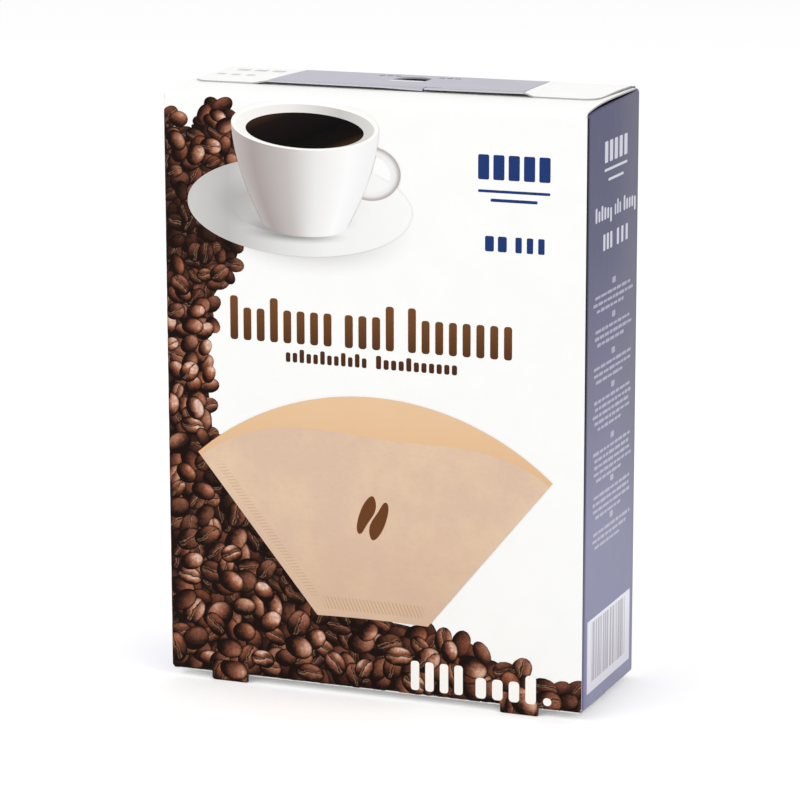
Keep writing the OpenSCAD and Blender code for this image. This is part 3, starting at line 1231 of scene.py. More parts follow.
@dataclass
class Carton:
    """The folded blank: four panels, two pairs of glued flaps, dust flaps, thumb tab and feet."""

    blank: Blank = BLANK
    glue_flap: float = 15.0
    dust_reach: float = 19.0
    dust_gap: float = 0.4
    dust_taper: float = 3.0
    dust_relief: float = 0.8
    dust_droop: float = 0.25
    ear_height: float = 0.75
    glue_tuck: Pair = (0.7, 3.0)
    ink_end: float = 0.12
    ink_end_left: float = 0.25
    inner_spread: float = 0.32
    kept_end: float = 18.0
    tear_rows: Pair = (40.7, 42.5)
    groove_width: float = 0.3
    groove_depth: float = 0.16
    tab_run: float = 3.4
    foot_play: float = 0.15

    @staticmethod
    def lay(
        name: str, surface: Surface, face: Finish, *cuts: tuple[list[Cutter], Side],
        side: Finish = Finish.SIDE,
    ) -> None:
        """Makes a cut sheet and lets it stand for the CAD node.

        Args:
            name: Name of the piece.
            surface: The closed sheet.
            face: Finish of its printed face.
            cuts: Cutters, with the slot of the walls that they leave.
            side: Finish of its faces in the slot of the side ink.
        """
        kinds = (face, Finish.RAW, Finish.CUT, side, Finish.SHADOW_WALL)
        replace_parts(keep(name, surface, *kinds, cuts=cuts), NODE)

    def outline(self) -> tuple[Array, Array, Array]:
        """Plan line of the four panels, from the glued joint on the left round to the glue flap inside it.

        Straight stretches are joined by quarter circles at the folds. The rear left fold sits one board
        thickness further in, so that the glue flap runs behind the left panel.

        Returns:
            Points as x and y, outward directions, and the stretch of each point.
        """
        b = self.blank
        r, w, d = b.crease, b.width, b.depth
        last = np.array([0.0, d - r - b.joint_gap])
        inner = b.board + 0.01 + r
        corners = [
            (r, r, 180.0, 30), (w - r, r, 270.0, 48), (w - r, d - r, 0.0, 30), (inner, d - r, 90.0, 48),
            (inner, d - self.glue_flap, 180.0, 12),
        ]
        parts = []
        for x, y, start, steps in corners:
            normal = heading(np.radians(np.linspace(start, start + 90.0, 8)))
            turn = np.array([x, y]) + r * normal
            straight = blend(last, turn[0], np.linspace(0.0, 1.0, steps + 1)[:, None])
            parts += [(straight, np.tile(normal[0], (steps + 1, 1))), (turn[1:-1], normal[1:-1])]
            last = turn[-1]
        parts.pop()
        points, normals = (np.concatenate(group) for group in zip(*parts))
        return points, normals, np.concatenate([np.full(len(p), i) for i, (p, _) in enumerate(parts)])

    def panels(self) -> None:
        """The tube: the plan line carried up between a lower and an upper edge.

        Each edge is at the height where that panel's fold starts. On the quarter circles it runs smoothly
        from the one panel's height to the next one's, and rises in a small ear at the front folds.
        """
        b = self.blank
        plan, normal, stretch = self.outline()
        x, y = plan.T
        front, rear, glue = (stretch == number for number in (Stretch.FRONT, Stretch.REAR, Stretch.GLUE))
        side = np.isin(stretch, [Stretch.LEFT, Stretch.RIGHT])
        tuck = blend(*self.glue_tuck, ease((b.depth - b.crease - y) / 6.0))
        low = [b.front_low, b.side_low(y) + b.crease, b.rear_low, b.rear_low + tuck]
        top = [b.roll_start, b.side_edge(y) - b.crease, b.rear_top, b.rear_top - tuck]
        place = np.arange(len(plan))
        known = stretch % 2 == 0
        low, top = (
            np.interp(place, place[known], np.select([front, side, rear, glue], edge)[known])
            for edge in (low, top)
        )
        ear = np.sin(math.pi * np.clip(y / b.crease, 0.0, 1.0) ** 0.6) ** 2
        top += self.ear_height * np.isin(stretch, [Stretch.FRONT_LEFT, Stretch.FRONT_RIGHT]) * ear
        share = np.linspace(0.0, 1.0, 37)[:, None]
        z = blend(low, top, share)
        swell = np.where(front | rear, b.front_bulge(x, z), np.where(side, b.side_bulge(y, z), 0.0))
        outer = grid_of(x + swell * normal[:, 0], y + swell * normal[:, 1], z)
        between = np.maximum(stretch[:-1], stretch[1:])
        here = (y[:-1] + y[1:]) / 2.0
        inked = np.isin(between, [Stretch.LEFT, Stretch.RIGHT])
        inked |= (between == Stretch.REAR_RIGHT) & (here < b.depth - self.ink_end)
        inked |= (between == Stretch.FRONT_RIGHT) & (here > self.ink_end)
        inked |= (between == Stretch.FRONT_LEFT) & (here > self.ink_end_left)
        slots = np.tile(np.where(inked, Side.INKED, Side.PRINTED), len(share) - 1)
        self.lay("carton_panels", sheet(outer, slots), Finish.WHITE)

    def dust_flap(self, name: str, right: bool, upper: bool) -> None:
        """A dust flap: it turns in from the edge of a side panel and lies under the glued flaps.

        Its section is a quarter circle of the crease's radius and a run inwards that droops with the square
        of its length. Towards its free end the flap grows narrower.

        Args:
            name: Name of the piece.
            right: Whether it belongs to the right side panel.
            upper: Whether it is the flap at the top.
        """
        b = self.blank
        turn, rise = quarter(b.crease, 7)
        inward = np.concatenate([turn, np.linspace(b.crease, self.dust_reach, 12)[1:]])[:, None]
        rise = np.concatenate([rise, np.full(11, b.crease)])[:, None]
        taper = self.dust_taper * ease((inward - 3.0) / (self.dust_reach - 3.0))
        margin = b.crease + self.dust_gap + (taper + self.dust_relief * ease(inward / 2.0))
        y = blend(margin, b.depth - margin, np.linspace(0.0, 1.0, 33))
        bent = rise - b.crease - self.dust_droop * (inward / self.dust_reach) ** 2
        z = b.side_edge(y) + bent if upper else b.side_low(y) - bent
        grid = grid_of(b.width - inward if right else inward, y, z)
        grid = grid[:: 1 if upper else -1, :: 1 if right else -1]
        fold = np.abs(grid[:-1, :-1, 0] + grid[1:, 1:, 0] - b.width) / 2.0 > b.width / 2.0 - b.crease
        slots = np.where(fold, Side.INKED, Side.PRINTED).ravel()
        # the top dust flaps' face past the fold is painted near-black as shadow; the bottom ones stay white
        self.lay(name, sheet(grid, slots), Finish.DARK if upper else Finish.WHITE)

    def thumb_cutter(self) -> list[Cutter]:
        """Cutter of the thumb opening: its plan has a straight hinge in front and a half circle behind.

        Returns:
            The one cutter.
        """
        b = self.blank
        x, y = b.hinge
        bow = b.thumb_radius * heading(np.radians(np.linspace(0.0, 180.0, 25)))
        bow += np.array([x, y + b.thumb_length - b.thumb_radius])
        return [prism(np.concatenate([[[x - b.thumb_radius, y], [x + b.thumb_radius, y]], bow]), *ROOF)]

    def top_inner_flap(self) -> None:
        """The front panel's flap: a soft quarter circle, then a sheet that rises gently to the rear."""
        b = self.blank
        turn, rise = quarter(b.soft_fold, 13)
        flat = run_of((b.soft_fold, 14.0, 10), (14.0, b.depth - 3.0, 12))[1:]
        y = np.concatenate([turn, flat])[:, None]
        z = np.concatenate([b.roll_start + rise, b.inner_top(flat)])[:, None]
        half = b.width / 2.0 - b.crease + self.inner_spread * ease((z - b.roll_start) / 0.6)
        grid = grid_of(b.width / 2.0 + np.linspace(-1.0, 1.0, 53) * half, y, z)
        self.lay("top_inner_flap", sheet(grid), Finish.WHITE, (self.thumb_cutter(), Side.SHADOW_WALL))

    def top_outer_flap(self) -> None:
        """The rear panel's flap, over the inner one: glued at its ends, lifted and printed between them.

        The rows run from the free edge to the rear, and round the rear fold. The ends of a row follow the
        slanted sides and the round corners. The middle of a row keeps its place, so bends stay square.
        """
        b = self.blank
        turn, rise = quarter(b.sharp_fold, 9)
        corner, (fine, coarse) = b.free_y + b.flap_corner, self.tear_rows
        flat = np.concatenate([
            b.free_y + quarter(b.flap_corner, 9)[0],
            run_of((corner, fine, 14), (fine, coarse, 12), (coarse, b.turned - b.sharp_fold, 4))[1:],
        ])
        y = np.concatenate([flat, b.turned + rise])[:, None]
        fall = np.concatenate([np.zeros(len(flat)), turn])[:, None]
        even = np.linspace(b.outer_inset, b.width - b.outer_inset, 121)
        even = np.unique(np.concatenate([even, [b.cut_x, b.cut_x + b.tongue_cut]]))
        away = np.minimum(even, b.width - even)
        pull = np.clip((self.kept_end - away) / (self.kept_end - b.outer_inset), 0.0, 1.0)
        x = even + (b.outer_side(y) - b.outer_inset) * pull * np.sign(b.width / 2.0 - even)
        z = np.where(fall > 0, b.outer_top(b.depth) - fall, b.outer_top(y) + b.lift(x, y))
        surface = sheet(grid_of(x, y, z))
        middle = (x[0, :-1] + x[0, 1:]) / 2.0
        # the free edge's cut face under the field gets the paler finish, a painted highlight
        highlit = (middle > TopField.left) & (middle < TopField.right)
        first = 2 * (len(y) - 1) * len(middle)
        surface.slots[first : first + len(middle)] = np.where(highlit, Side.INKED, Side.CUT)
        cuts = ((self.thumb_cutter(), Side.CUT), (self.slit_cutters(), Side.SHADOW_WALL))
        self.lay("top_outer_flap", surface, Finish.TOP, *cuts, side=Finish.HIGHLIT_EDGE)

    def slit_cutters(self) -> list[Cutter]:
        """Cutters of the tear line, of the tongue's open side and of the bend behind the tongue.

        Returns:
            The cutters.
        """
        b = self.blank
        x, y = b.hinge
        y += b.thumb_length - b.slit_width
        half = b.slit_length / 2.0
        found = []
        for way in (-1.0, 1.0):
            for number in range(b.slits):
                away = b.thumb_radius + b.slit_bridge + (b.slit_length + b.slit_bridge) * number + half
                middle = x + way * away
                found.append(prism(box_plan(middle - half, middle + half, y, y + b.slit_width), *ROOF))
        bend_y = b.free_y + b.tongue_depth
        found.append(prism(box_plan(b.cut_x, b.cut_x + b.tongue_cut, b.free_y - 1.0, bend_y), *ROOF))
        face = float(b.outer_top(bend_y) + b.lift(b.cut_x + 2.0, bend_y))
        groove = box_plan(b.cut_x + 0.7, b.cut_x + b.tongue_width, bend_y - self.groove_width, bend_y)
        found.append(prism(groove, face - self.groove_depth, ROOF[1]))
        return found

    def thumb_tab(self) -> None:
        """The tab, pushed in about its hinge: its slope grows smoothly, and its end is a half circle."""
        b = self.blank
        x, y = b.hinge
        r, straight = b.thumb_radius - b.thumb_gap, b.thumb_length - b.thumb_radius
        angle = np.radians(np.linspace(0.0, 86.0, 12))[1:]
        way = np.concatenate([np.linspace(0.0, straight, 9), straight + r * np.sin(angle)])[:, None]
        half = np.concatenate([np.full(9, r), r * np.cos(angle)])[:, None]
        fine = np.linspace(0.0, way[-1, 0], 400)
        slope = np.radians(b.thumb_push) * ease(fine / self.tab_run + 0.1)
        run, drop = fine[1] * np.pad(np.cumsum(heading(slope[:-1]), axis=0), ((1, 0), (0, 0))).T
        z = float(b.outer_top(y) + b.lift(x, y))
        y, z = y + np.interp(way, fine, run), z - np.interp(way, fine, drop)
        grid = grid_of(x + half * np.linspace(-1.0, 1.0, 13), y, z)
        self.lay("thumb_tab", sheet(grid), Finish.TOP)

    def bottom_inner_flap(self) -> None:
        """The front panel's flap at the bottom: a quarter circle and a sheet that runs down behind the feet.

        The feet were cut out of it, so it has a hole behind each.
        """
        b = self.blank
        turn, rise = quarter(b.sharp_fold, 9)
        flat = run_of((b.sharp_fold, b.free_y + 8.0, 20))[1:]
        fold = b.inner_low(b.sharp_fold) + b.sharp_fold - rise
        fold += np.linspace(b.front_low - fold[0], 0.0, len(fold))
        y = np.concatenate([turn, flat])[:, None]
        z = np.concatenate([fold, b.inner_low(flat)])[:, None]
        x = np.linspace(b.crease, b.width - b.crease, 53)
        held = b.glued(x) * ease((y - b.sharp_fold) / 2.0)
        grid = grid_of(x, y, blend(z, b.side_low(y) - b.glue_gap - b.board, held))[::-1]
        rear = b.sharp_fold + b.foot_height + 0.4
        play = self.foot_play
        plans = [box_plan(left - play, left + b.foot_width + play, -1.0, rear) for left in b.feet]
        holes = [prism(plan, -1.0, 9.0) for plan in plans]
        self.lay("bottom_inner_flap", sheet(grid), Finish.WHITE, (holes, Side.CUT))

    def bottom_outer_flap(self) -> None:
        """The rear panel's flap at the bottom: down from the rear fold, then flat to its free edge."""
        b = self.blank
        turn, rise = quarter(b.sharp_fold, 9)
        corner = b.free_y + b.flap_corner
        flat = np.concatenate([
            run_of((b.turned, b.depth - b.belly_run, 10), (b.depth - b.belly_run, corner, 8))[1:],
            (corner - quarter(b.flap_corner, 9)[1])[1:],
        ])
        y = np.concatenate([b.depth - turn, flat])[:, None]
        z = np.concatenate([b.belly(b.turned) + b.sharp_fold - rise, b.belly(flat)])[:, None]
        left = b.outer_side(y)
        x = blend(left, b.width - left, np.linspace(0.0, 1.0, 49))
        z = np.maximum(z, (b.side_low(y) - 2.0 * (b.glue_gap + b.board)) * b.glued(x))
        self.lay("bottom_outer_flap", sheet(grid_of(x, y, z)), Finish.WHITE)

    def foot(self, name: str, left: float) -> None:
        """One foot: the part of the front panel that the die cut leaves upright, with two round corners.

        Args:
            name: Name of the piece.
            left: Place of its left side.
        """
        b = self.blank
        low, cut = quarter(b.foot_corner, 8, 8.0)
        low[0] = 0.0
        z = np.concatenate([low, np.linspace(b.foot_corner, b.front_low, 6)[1:]])[:, None]
        inset = np.concatenate([b.foot_corner - cut, np.zeros(5)])[:, None]
        x = blend(left + inset, left + b.foot_width - inset, np.linspace(0.0, 1.0, 13))
        self.lay(name, sheet(grid_of(x, 0.0, z)), Finish.BED)

    def build(self) -> None:
        """Makes every sheet of the carton."""
        self.panels()
        for level in ("top", "bottom"):
            for side in ("left", "right"):
                self.dust_flap(f"{level}_dust_flap_{side}", side == "right", level == "top")
        self.top_inner_flap()
        self.top_outer_flap()
        self.thumb_tab()
        self.bottom_inner_flap()
        self.bottom_outer_flap()
        for side, left in zip(("left", "right"), self.blank.feet):
            self.foot(f"front_foot_{side}", left)


class Layer(float, Enum):
    """How far in front of the board a print lies, in millimetres, so that later inks cover earlier ones."""

    BAR = 0.022
    SHADE = 0.024
    GROUND = 0.030
    BEANS = 0.050
    FEET = 0.125
    SAUCER = 0.126
    CONE_BACK = 0.128
    WELL = 0.132
    HANDLE = 0.135
    CONE = 0.136
    CUP = 0.140
    MARK = 0.144
    INSIDE = 0.146
    OVER = 0.150
    COFFEE = 0.152


@dataclass
class Printing:
    """Base of the prints: it bends flat shapes round the board."""

    blank: Blank = BLANK

    @staticmethod
    def wrapped(radius: float, way: Array, off: Number) -> tuple[Array, Array]:
        """How far back and on a print lies round a fold: its angle is the way over the radius."""
        angle = np.clip(way / radius, -QUARTER, QUARTER)
        return radius - (radius + off) * np.cos(angle), (radius + off) * np.sin(angle)

    def on_front(self, flat: Array, off: Number) -> Array:
        """Bends flat places on the front panel round its folds.

        The first coordinate is the way to the right and the second the height. Between the folds a point
        stays in the panel's plane, plus its swell.

        Args:
            flat: Places as two coordinates.
            off: Distance in front of the board.

        Returns:
            Points in space.
        """
        b = self.blank
        u, w = flat[..., 0], flat[..., 1]
        over, under = np.maximum(w - b.roll_start, 0.0), np.maximum(b.front_low - w, 0.0)
        inner = np.clip(u, b.crease, b.width - b.crease)
        past = np.where((over == 0) & (under == 0), u - inner, 0.0)
        side_y, on = self.wrapped(b.crease, past, off)
        top_y, up = self.wrapped(b.soft_fold, over, off)
        low_y, down = self.wrapped(b.sharp_fold, under, off)
        top_y = top_y + np.maximum(over - b.soft_fold * QUARTER, 0.0)
        y = np.where(past != 0, side_y, -b.front_bulge(inner, w) - off)
        y = np.where(over > 0, top_y, np.where(under > 0, low_y, y))
        z = np.where(over > 0, b.roll_start + up, np.where(under > 0, b.front_low - down, w))
        return grid_of(np.where(past != 0, inner + on, inner), y, z)

    def front(self, flat: Array, off: Number, slot: int = 0, **values: Array) -> Surface:
        """Patch of print on the front panel."""
        return patch(self.on_front(flat, off), slot, **values)

    def right(self, flat: Array, slot: int, off: float = Layer.BAR) -> Surface:
        """Patch of print on the right side panel. The first coordinate is the way from the front fold."""
        y, z = flat[..., 0], flat[..., 1]
        return patch(grid_of(self.blank.width + self.blank.side_bulge(y, z) + off, y, z), slot)

    @staticmethod
    def bar(x0: float, x1: float, z0: float, z1: float, round_: float = 0.9) -> Array:
        """Flat bar with round corners: its half height shrinks near each end as a circle does.

        Args:
            x0: Left end.
            x1: Right end.
            z0: Lower edge.
            z1: Upper edge.
            round_: Radius of the corners, as a share of half the shorter side.

        Returns:
            Flat places as rows by columns by two.
        """
        half = (z1 - z0) / 2.0
        radius = round_ * min(half, (x1 - x0) / 2.0)
        end = quarter(radius, 5)[0]
        between = np.linspace(x0 + radius, x1 - radius, 3 + int((x1 - x0) / 6.0))[1:-1]
        x = np.concatenate([x0 + end, between, (x1 - end)[::-1]])
        away = np.clip(np.minimum(x - x0, x1 - x), 0.0, radius)
        height = half - radius + np.sqrt(np.maximum(radius**2 - (radius - away) ** 2, 0.0))
        t = np.linspace(-1.0, 1.0, 2 + int((z1 - z0) / 6.0))[:, None]
        return grid_of(x, (z0 + z1) / 2.0 + t * height)

    @classmethod
    def strokes(
        cls, x0: float, x1: float, base: float, heights: Sequence[float], gap: float, round_: float = 0.7
    ) -> list[Array]:
        """Row of upright bars that stands where a pack has a word: equal widths, uneven heights.

        Args:
            x0: Left end.
            x1: Right end.
            base: Height at which the bars stand.
            heights: Height of each bar. A negative one hangs below the line by a third of its size.
            gap: Gap between the bars.
            round_: Rounding of the corners.

        Returns:
            Flat places of each bar.
        """
        wide = (x1 - x0 - gap * (len(heights) - 1)) / len(heights)
        found = []
        for number, tall in enumerate(heights):
            left, foot = x0 + number * (wide + gap), base + min(tall, 0.0) / 3.0
            found.append(cls.bar(left, left + wide, foot, foot + abs(tall), round_))
        return found

    @staticmethod
    def disc(steps: int) -> Array:
        """Unit disc from a square grid: u times the root of 1 less half v squared, and v likewise."""
        u, v = np.meshgrid(*[np.sin(np.linspace(-QUARTER, QUARTER, steps + 1))] * 2)
        return grid_of(u * np.sqrt(1 - v * v / 2.0), v * np.sqrt(1 - u * u / 2.0))


@dataclass
class BeanSet:
    """Many printed beans: middle, half axes, direction, level, carried light and tone, and ring of each."""

    middle: Array
    halves: Array
    axis: Array
    level: Array
    light: Array
    tone: Array
    ring: Array

    def pick(self, mask: Array) -> "BeanSet":
        """The beans for which the mask holds."""
        return BeanSet(*(getattr(self, f.name)[mask] for f in fields(self)))


@dataclass
class BeanHeap(Printing):
    """Printed heap of beans down the left and along the bottom of the front panel.

    Its outline is given by profiles, each a row of places and a row of values: the column's width by the
    height, the foot's height and the column's top by the way to the right. Two more give the left side of
    the pictured cone and the beans' size by the height.
    """

    seed: int = 41
    spacing: float = 4.75
    row_pitch: float = 0.82
    jitter: float = 1.25
    edge_margin: float = 1.7
    ring_margin: float = 5.2
    ring_size: float = 1.09
    long_half: float = 3.95
    short_half: float = 2.85
    fold_reach: float = -0.16
    end_gap: float = 0.3
    under: float = 1.36
    ground_margin: float = 3.0
    spread: Pair = (0.84, 1.12)
    creased_share: float = 0.42
    light_from: float = math.radians(38.0)
    light_spread: float = 0.6
    light_flat: Pair = (0.52, 0.78)
    tone_spread: float = 0.15
    tone_range: Pair = (0.68, 1.34)
    low_tone: float = 0.57
    level_tone: float = 0.49
    full_level: float = 6.0
    glow: Triple = (0.24, 92.0, 26.0)
    cup_shade: Triple = (0.56, 140.0, 16.0)
    cone_shade: Pair = (0.38, 4.5)
    saucer: tuple[float, float, float, float] = (43.0, 147.0, 30.0, 11.5)
    column: Profile = (
        (0, 12, 24, 40, 56, 66, 78, 92, 106, 118, 128, 140, 160, 171, 176, 179),
        (112, 88, 66, 46, 30, 20, 17.5, 16.2, 16.4, 18.2, 25, 30, 28, 25, 25, 25),
    )
    foot: Profile = (
        (0, 40, 60, 76, 86, 96, 106, 116, 126, 131.4), (60, 34, 28, 26.5, 25, 21, 17.5, 14.5, 12.5, 12),
    )
    crest: Profile = (
        (0, 3, 7, 11, 15, 18, 21, 25), (175.6, 173.6, 171.4, 172.6, 176.2, 178.4, 177.6, 173.0),
    )
    cone_side: Profile = ((24.0, 71.0), (48.2, 9.8))
    sizes: Profile = ((44.0, 108.0), (1.0, 0.77))

    def grade(self, w: Number) -> Array:
        """Size of the beans at a height as a share of their full size."""
        return np.interp(w, *self.sizes)

    def inside(self, flat: Array, margin: float) -> Array:
        """Whether places lie in the heap.

        Args:
            flat: Places as two coordinates.
            margin: Least distance from its outline.

        Returns:
            Truth of each.
        """
        u, w = flat.T
        column = (u < np.interp(w, *self.column) - margin) & (w < np.interp(u, *self.crest) - margin)
        return column | (w < np.interp(u, *self.foot) - margin)

    def left_of_cone(self, flat: Array) -> Array:
        """Distance of places from the pictured cone's left side and foot.

        Args:
            flat: Places as two coordinates.

        Returns:
            Distance of each, less than nothing inside the cone.
        """
        u, w = flat.T
        side = (np.interp(w, *self.cone_side) - u) * KraftInk.slope[0]
        return np.maximum(side, self.cone_side[0][0] - w)

    def hidden(self, flat: Array) -> Array:
        """Whether beans would lie wholly under the cone or the saucer.

        Args:
            flat: Middles of the beans.

        Returns:
            Truth of each.
        """
        (u, w), (x, z, a, b) = flat.T, self.saucer
        cone = (self.left_of_cone(flat) < -5.0) & (w < 78.0) & (u < 80.0)
        return cone | (((u - x) / a) ** 2 + ((w - z) / b) ** 2 < 1.0)

    def centres(self, rng: np.random.Generator) -> Array:
        """Middles of the beans: a staggered grid, each place moved a little at random.

        Args:
            rng: Source of the draws.

        Returns:
            Places as two coordinates.
        """
        b = self.blank
        lines, w = [], 1.4
        while not lines or lines[-1][0, 1] < b.front_top + 2.5:
            pitch = self.spacing * float(self.grade(w))
            u = np.arange(0.6 + pitch * (len(lines) % 2) / 2.0, b.width, pitch)
            lines.append(np.column_stack([u, np.full(len(u), w)]))
            w += self.row_pitch * pitch
        flat = np.concatenate(lines)
        flat = flat + rng.uniform(-self.jitter, self.jitter, flat.shape) * self.grade(flat[:, 1:])
        flat = flat[self.inside(flat, self.edge_margin)]
        u, w = flat.T
        return flat[(u > 0.6) & (u < b.width - 1.4) & (w > b.front_low - 0.4) & ~self.hidden(flat)]

    @staticmethod
    def stacking(flat: Array, reach: Array) -> Array:
        """Gives each bean the lowest level that no earlier bean has whose reach meets its own.

        Args:
            flat: Middles of the beans.
            reach: How far each one reaches.

        Returns:
            Level of each bean.
        """
        level = np.zeros(len(flat), dtype=int)
        for i in range(1, len(flat)):
            near = np.hypot(*(flat[:i] - flat[i]).T) < reach[:i] + reach[i]
            taken = set(level[:i][near].tolist())
            level[i] = next(n for n in range(len(flat)) if n not in taken)
        return level

    def shaped(self, rng: np.random.Generator, flat: Array) -> BeanSet:
        """Gives beans their size, direction, light and tone.

        Beans on a low level are darker. Those beside the cone or under the saucer are darker too, and those
        half way up a little lighter, each by a bell curve with a share and a reach. A bean well inside the
        heap gets a dark ring round it, as the shade between it and its neighbours.

        Args:
            rng: Source of the draws.
            flat: Middles of the beans.

        Returns:
            The beans.
        """
        count = len(flat)
        u, w = flat.T
        size = rng.uniform(*self.spread, count) * self.grade(w)
        slim = rng.uniform(*self.spread, count)
        halves = np.column_stack([self.long_half * size, self.short_half * size * slim])
        angle = rng.uniform(0.0, math.pi, count)
        axis = heading(angle)
        level = self.stacking(flat, halves[:, 0] * 0.98)
        lamp = heading(rng.normal(self.light_from, self.light_spread, count))
        lamp = lamp * rng.uniform(*self.light_flat, count)[:, None]
        creased = rng.uniform(size=count) < self.creased_share
        light = np.column_stack([(lamp * axis).sum(-1), (lamp * heading(angle + QUARTER)).sum(-1), creased])
        tone = np.clip(rng.normal(1.0, self.tone_spread, count), *self.tone_range)
        share, middle, reach = self.glow
        tone *= 1.0 + share * bell((w - middle) / reach)
        tone *= self.low_tone + self.level_tone * np.clip(level / self.full_level, 0.0, 1.0)
        share, middle, reach = self.cup_shade
        tone *= 1.0 - share * bell((w - middle) / reach) * (u < 36)
        share, reach = self.cone_shade
        beside = bell(np.maximum(self.left_of_cone(flat), 0.0) / reach)
        tone *= 1.0 - share * beside * (w < 76) * (u < 84)
        ring = np.where(self.inside(flat, self.ring_margin), self.ring_size, 1.0)
        tone = np.column_stack([tone, rng.uniform(size=(count, 2))])
        return BeanSet(flat, halves, axis, level, light, tone, ring)

    def discs(
        self, beans: BeanSet, steps: int, low: Sequence[float], high: Sequence[float], base: float,
        folded: bool,
    ) -> Surface:
        """Beans as small discs.

        Each disc is scaled to an oval, turned and moved to its place. Where an oval would cross a limit,
        every ray from its middle is shortened to the limit, and its print coordinates are those of the place
        that is reached.

        Args:
            beans: The beans.
            steps: Faces along a side of each disc's grid.
            low: Least place to the right and least height.
            high: Greatest place to the right and greatest height.
            base: Distance of the lowest level from the board.
            folded: Whether the print follows the folds, as on the panel, or stays flat, as on a foot.

        Returns:
            One surface for all of them.
        """
        disc = self.disc(steps).reshape(-1, 2)
        middle, axis, ring = beans.middle[:, None], beans.axis[:, None], beans.ring[:, None, None]
        scaled = disc * beans.halves[:, None] * ring
        offset = scaled[..., :1] * axis + scaled[..., 1:] * axis[..., ::-1] * (-1.0, 1.0)
        rim = offset / np.maximum(np.linalg.norm(disc, axis=-1), 1e-6)[:, None]
        limit = np.where(rim > 0, high - middle, low - middle)
        still = np.abs(rim) < 1e-9
        room = np.min(np.where(still, 9.0, limit / np.where(still, 1.0, rim)), axis=-1)
        share = np.clip(room, 0.02, 1.0)[..., None]
        reached = middle + offset * share
        off = (base + 0.0045 * beans.level)[:, None]
        points = self.on_front(reached, off) if folded else grid_of(reached[..., 0], -off, reached[..., 1])
        each, count = len(disc), len(middle)
        quads = (lattice(steps + 1, steps + 1) + (np.arange(count) * each)[:, None, None]).reshape(-1, 4)
        values = {
            "uv": (disc * share * ring).reshape(-1, 2),
            "bean_light": np.repeat(beans.light, each, axis=0),
            "bean_tone": np.repeat(beans.tone, each, axis=0),
        }
        return Surface(points.reshape(-1, 3), quads, np.zeros(len(quads), dtype=int), values)

    def heap(self) -> list[Surface]:
        """All beans of the panel. Those at a fold get a finer grid, so that they bend round it.

        Returns:
            The plain ones and the ones at a fold.
        """
        b = self.blank
        rng = np.random.default_rng(self.seed)
        flat = self.centres(rng)
        rng.shuffle(flat)
        beans = self.shaped(rng, flat)
        reach = 1.15 * self.long_half * 1.13
        u, w = beans.middle.T
        near = (u < b.crease + reach) | (u > b.width - b.crease - reach)
        near |= (w < b.front_low + reach) | (w > b.roll_start - reach)
        low = (self.fold_reach, b.front_low - self.under)
        high = (b.width - self.end_gap, b.roll_start + 1.9)
        LOG.info("beans: %d on %d levels", len(flat), int(beans.level.max()) + 1)
        groups = ((~near, 5), (near, 16))
        return [self.discs(beans.pick(mask), n, low, high, Layer.BEANS, True) for mask, n in groups]

    def feet(self) -> list[Surface]:
        """Beans on the two feet, cut off at the feet's outlines, so that the print runs on over them.

        Returns:
            One surface for each foot.
        """
        b = self.blank
        found = []
        for number, left in enumerate(b.feet):
            rng = np.random.default_rng(self.seed + 10 + number)
            u = left + np.linspace(1.2, b.foot_width - 1.2, 4) + rng.uniform(-0.7, 0.7, 4)
            w = np.array([3.4, 2.2, 3.6, 2.4]) + rng.uniform(-0.3, 0.3, 4)
            beans = self.shaped(rng, np.column_stack([u, w]))
            beans.tone[:, 0] = rng.uniform(0.72, 1.0, 4)
            low, high = (left + 0.06, 0.22), (left + b.foot_width - 0.06, b.front_low + 3.4)
            found.append(self.discs(beans, 8, low, high, Layer.FEET, False))
        return found

    def ground(self) -> list[Surface]:
        """Dark ground under the beans: a column that ends at the outline, a foot beside it, a tip above it.

        The places along a row grow with the square of their number, so that those at the fold lie close.

        Returns:
            The three patches.
        """
        b = self.blank
        low, margin = b.front_low - self.under, self.ground_margin
        w = run_of((low, b.front_low + 0.4, 10), (b.front_low + 0.4, 168.2, 110))[:, None]
        wide = np.clip(np.interp(w, *self.column) - margin, 0.4, 66.0)
        column = grid_of(blend(self.fold_reach, wide, np.linspace(0.0, 1.0, 41) ** 2), w)
        tip_u = np.linspace(9.0, 22.6, 14)
        tip_w = np.maximum(np.interp(tip_u, *self.crest) - margin, 168.1)
        tip = grid_of(tip_u, blend(168.0, tip_w, np.linspace(0.0, 1.0, 6)[:, None]))
        across = run_of((64.0, b.width - b.crease, 58), (b.width - b.crease, b.width - self.end_gap, 4))
        share = run_of((0.0, 0.16, 7), (0.16, 1.0, 8))[:, None]
        foot = grid_of(across, blend(low, np.interp(across, *self.foot) - margin, share))
        return [self.front(flat, Layer.GROUND + 0.002 * i) for i, flat in enumerate((column, foot, tip))]

    def build(self) -> None:
        """Prints the ground and the beans."""
        keep("print_bean_ground", Surface.joined(self.ground()), Finish.BED)
        keep("print_beans", Surface.joined(self.heap()), Finish.BEANS)
        keep("print_feet", Surface.joined(self.feet()), Finish.BEANS)


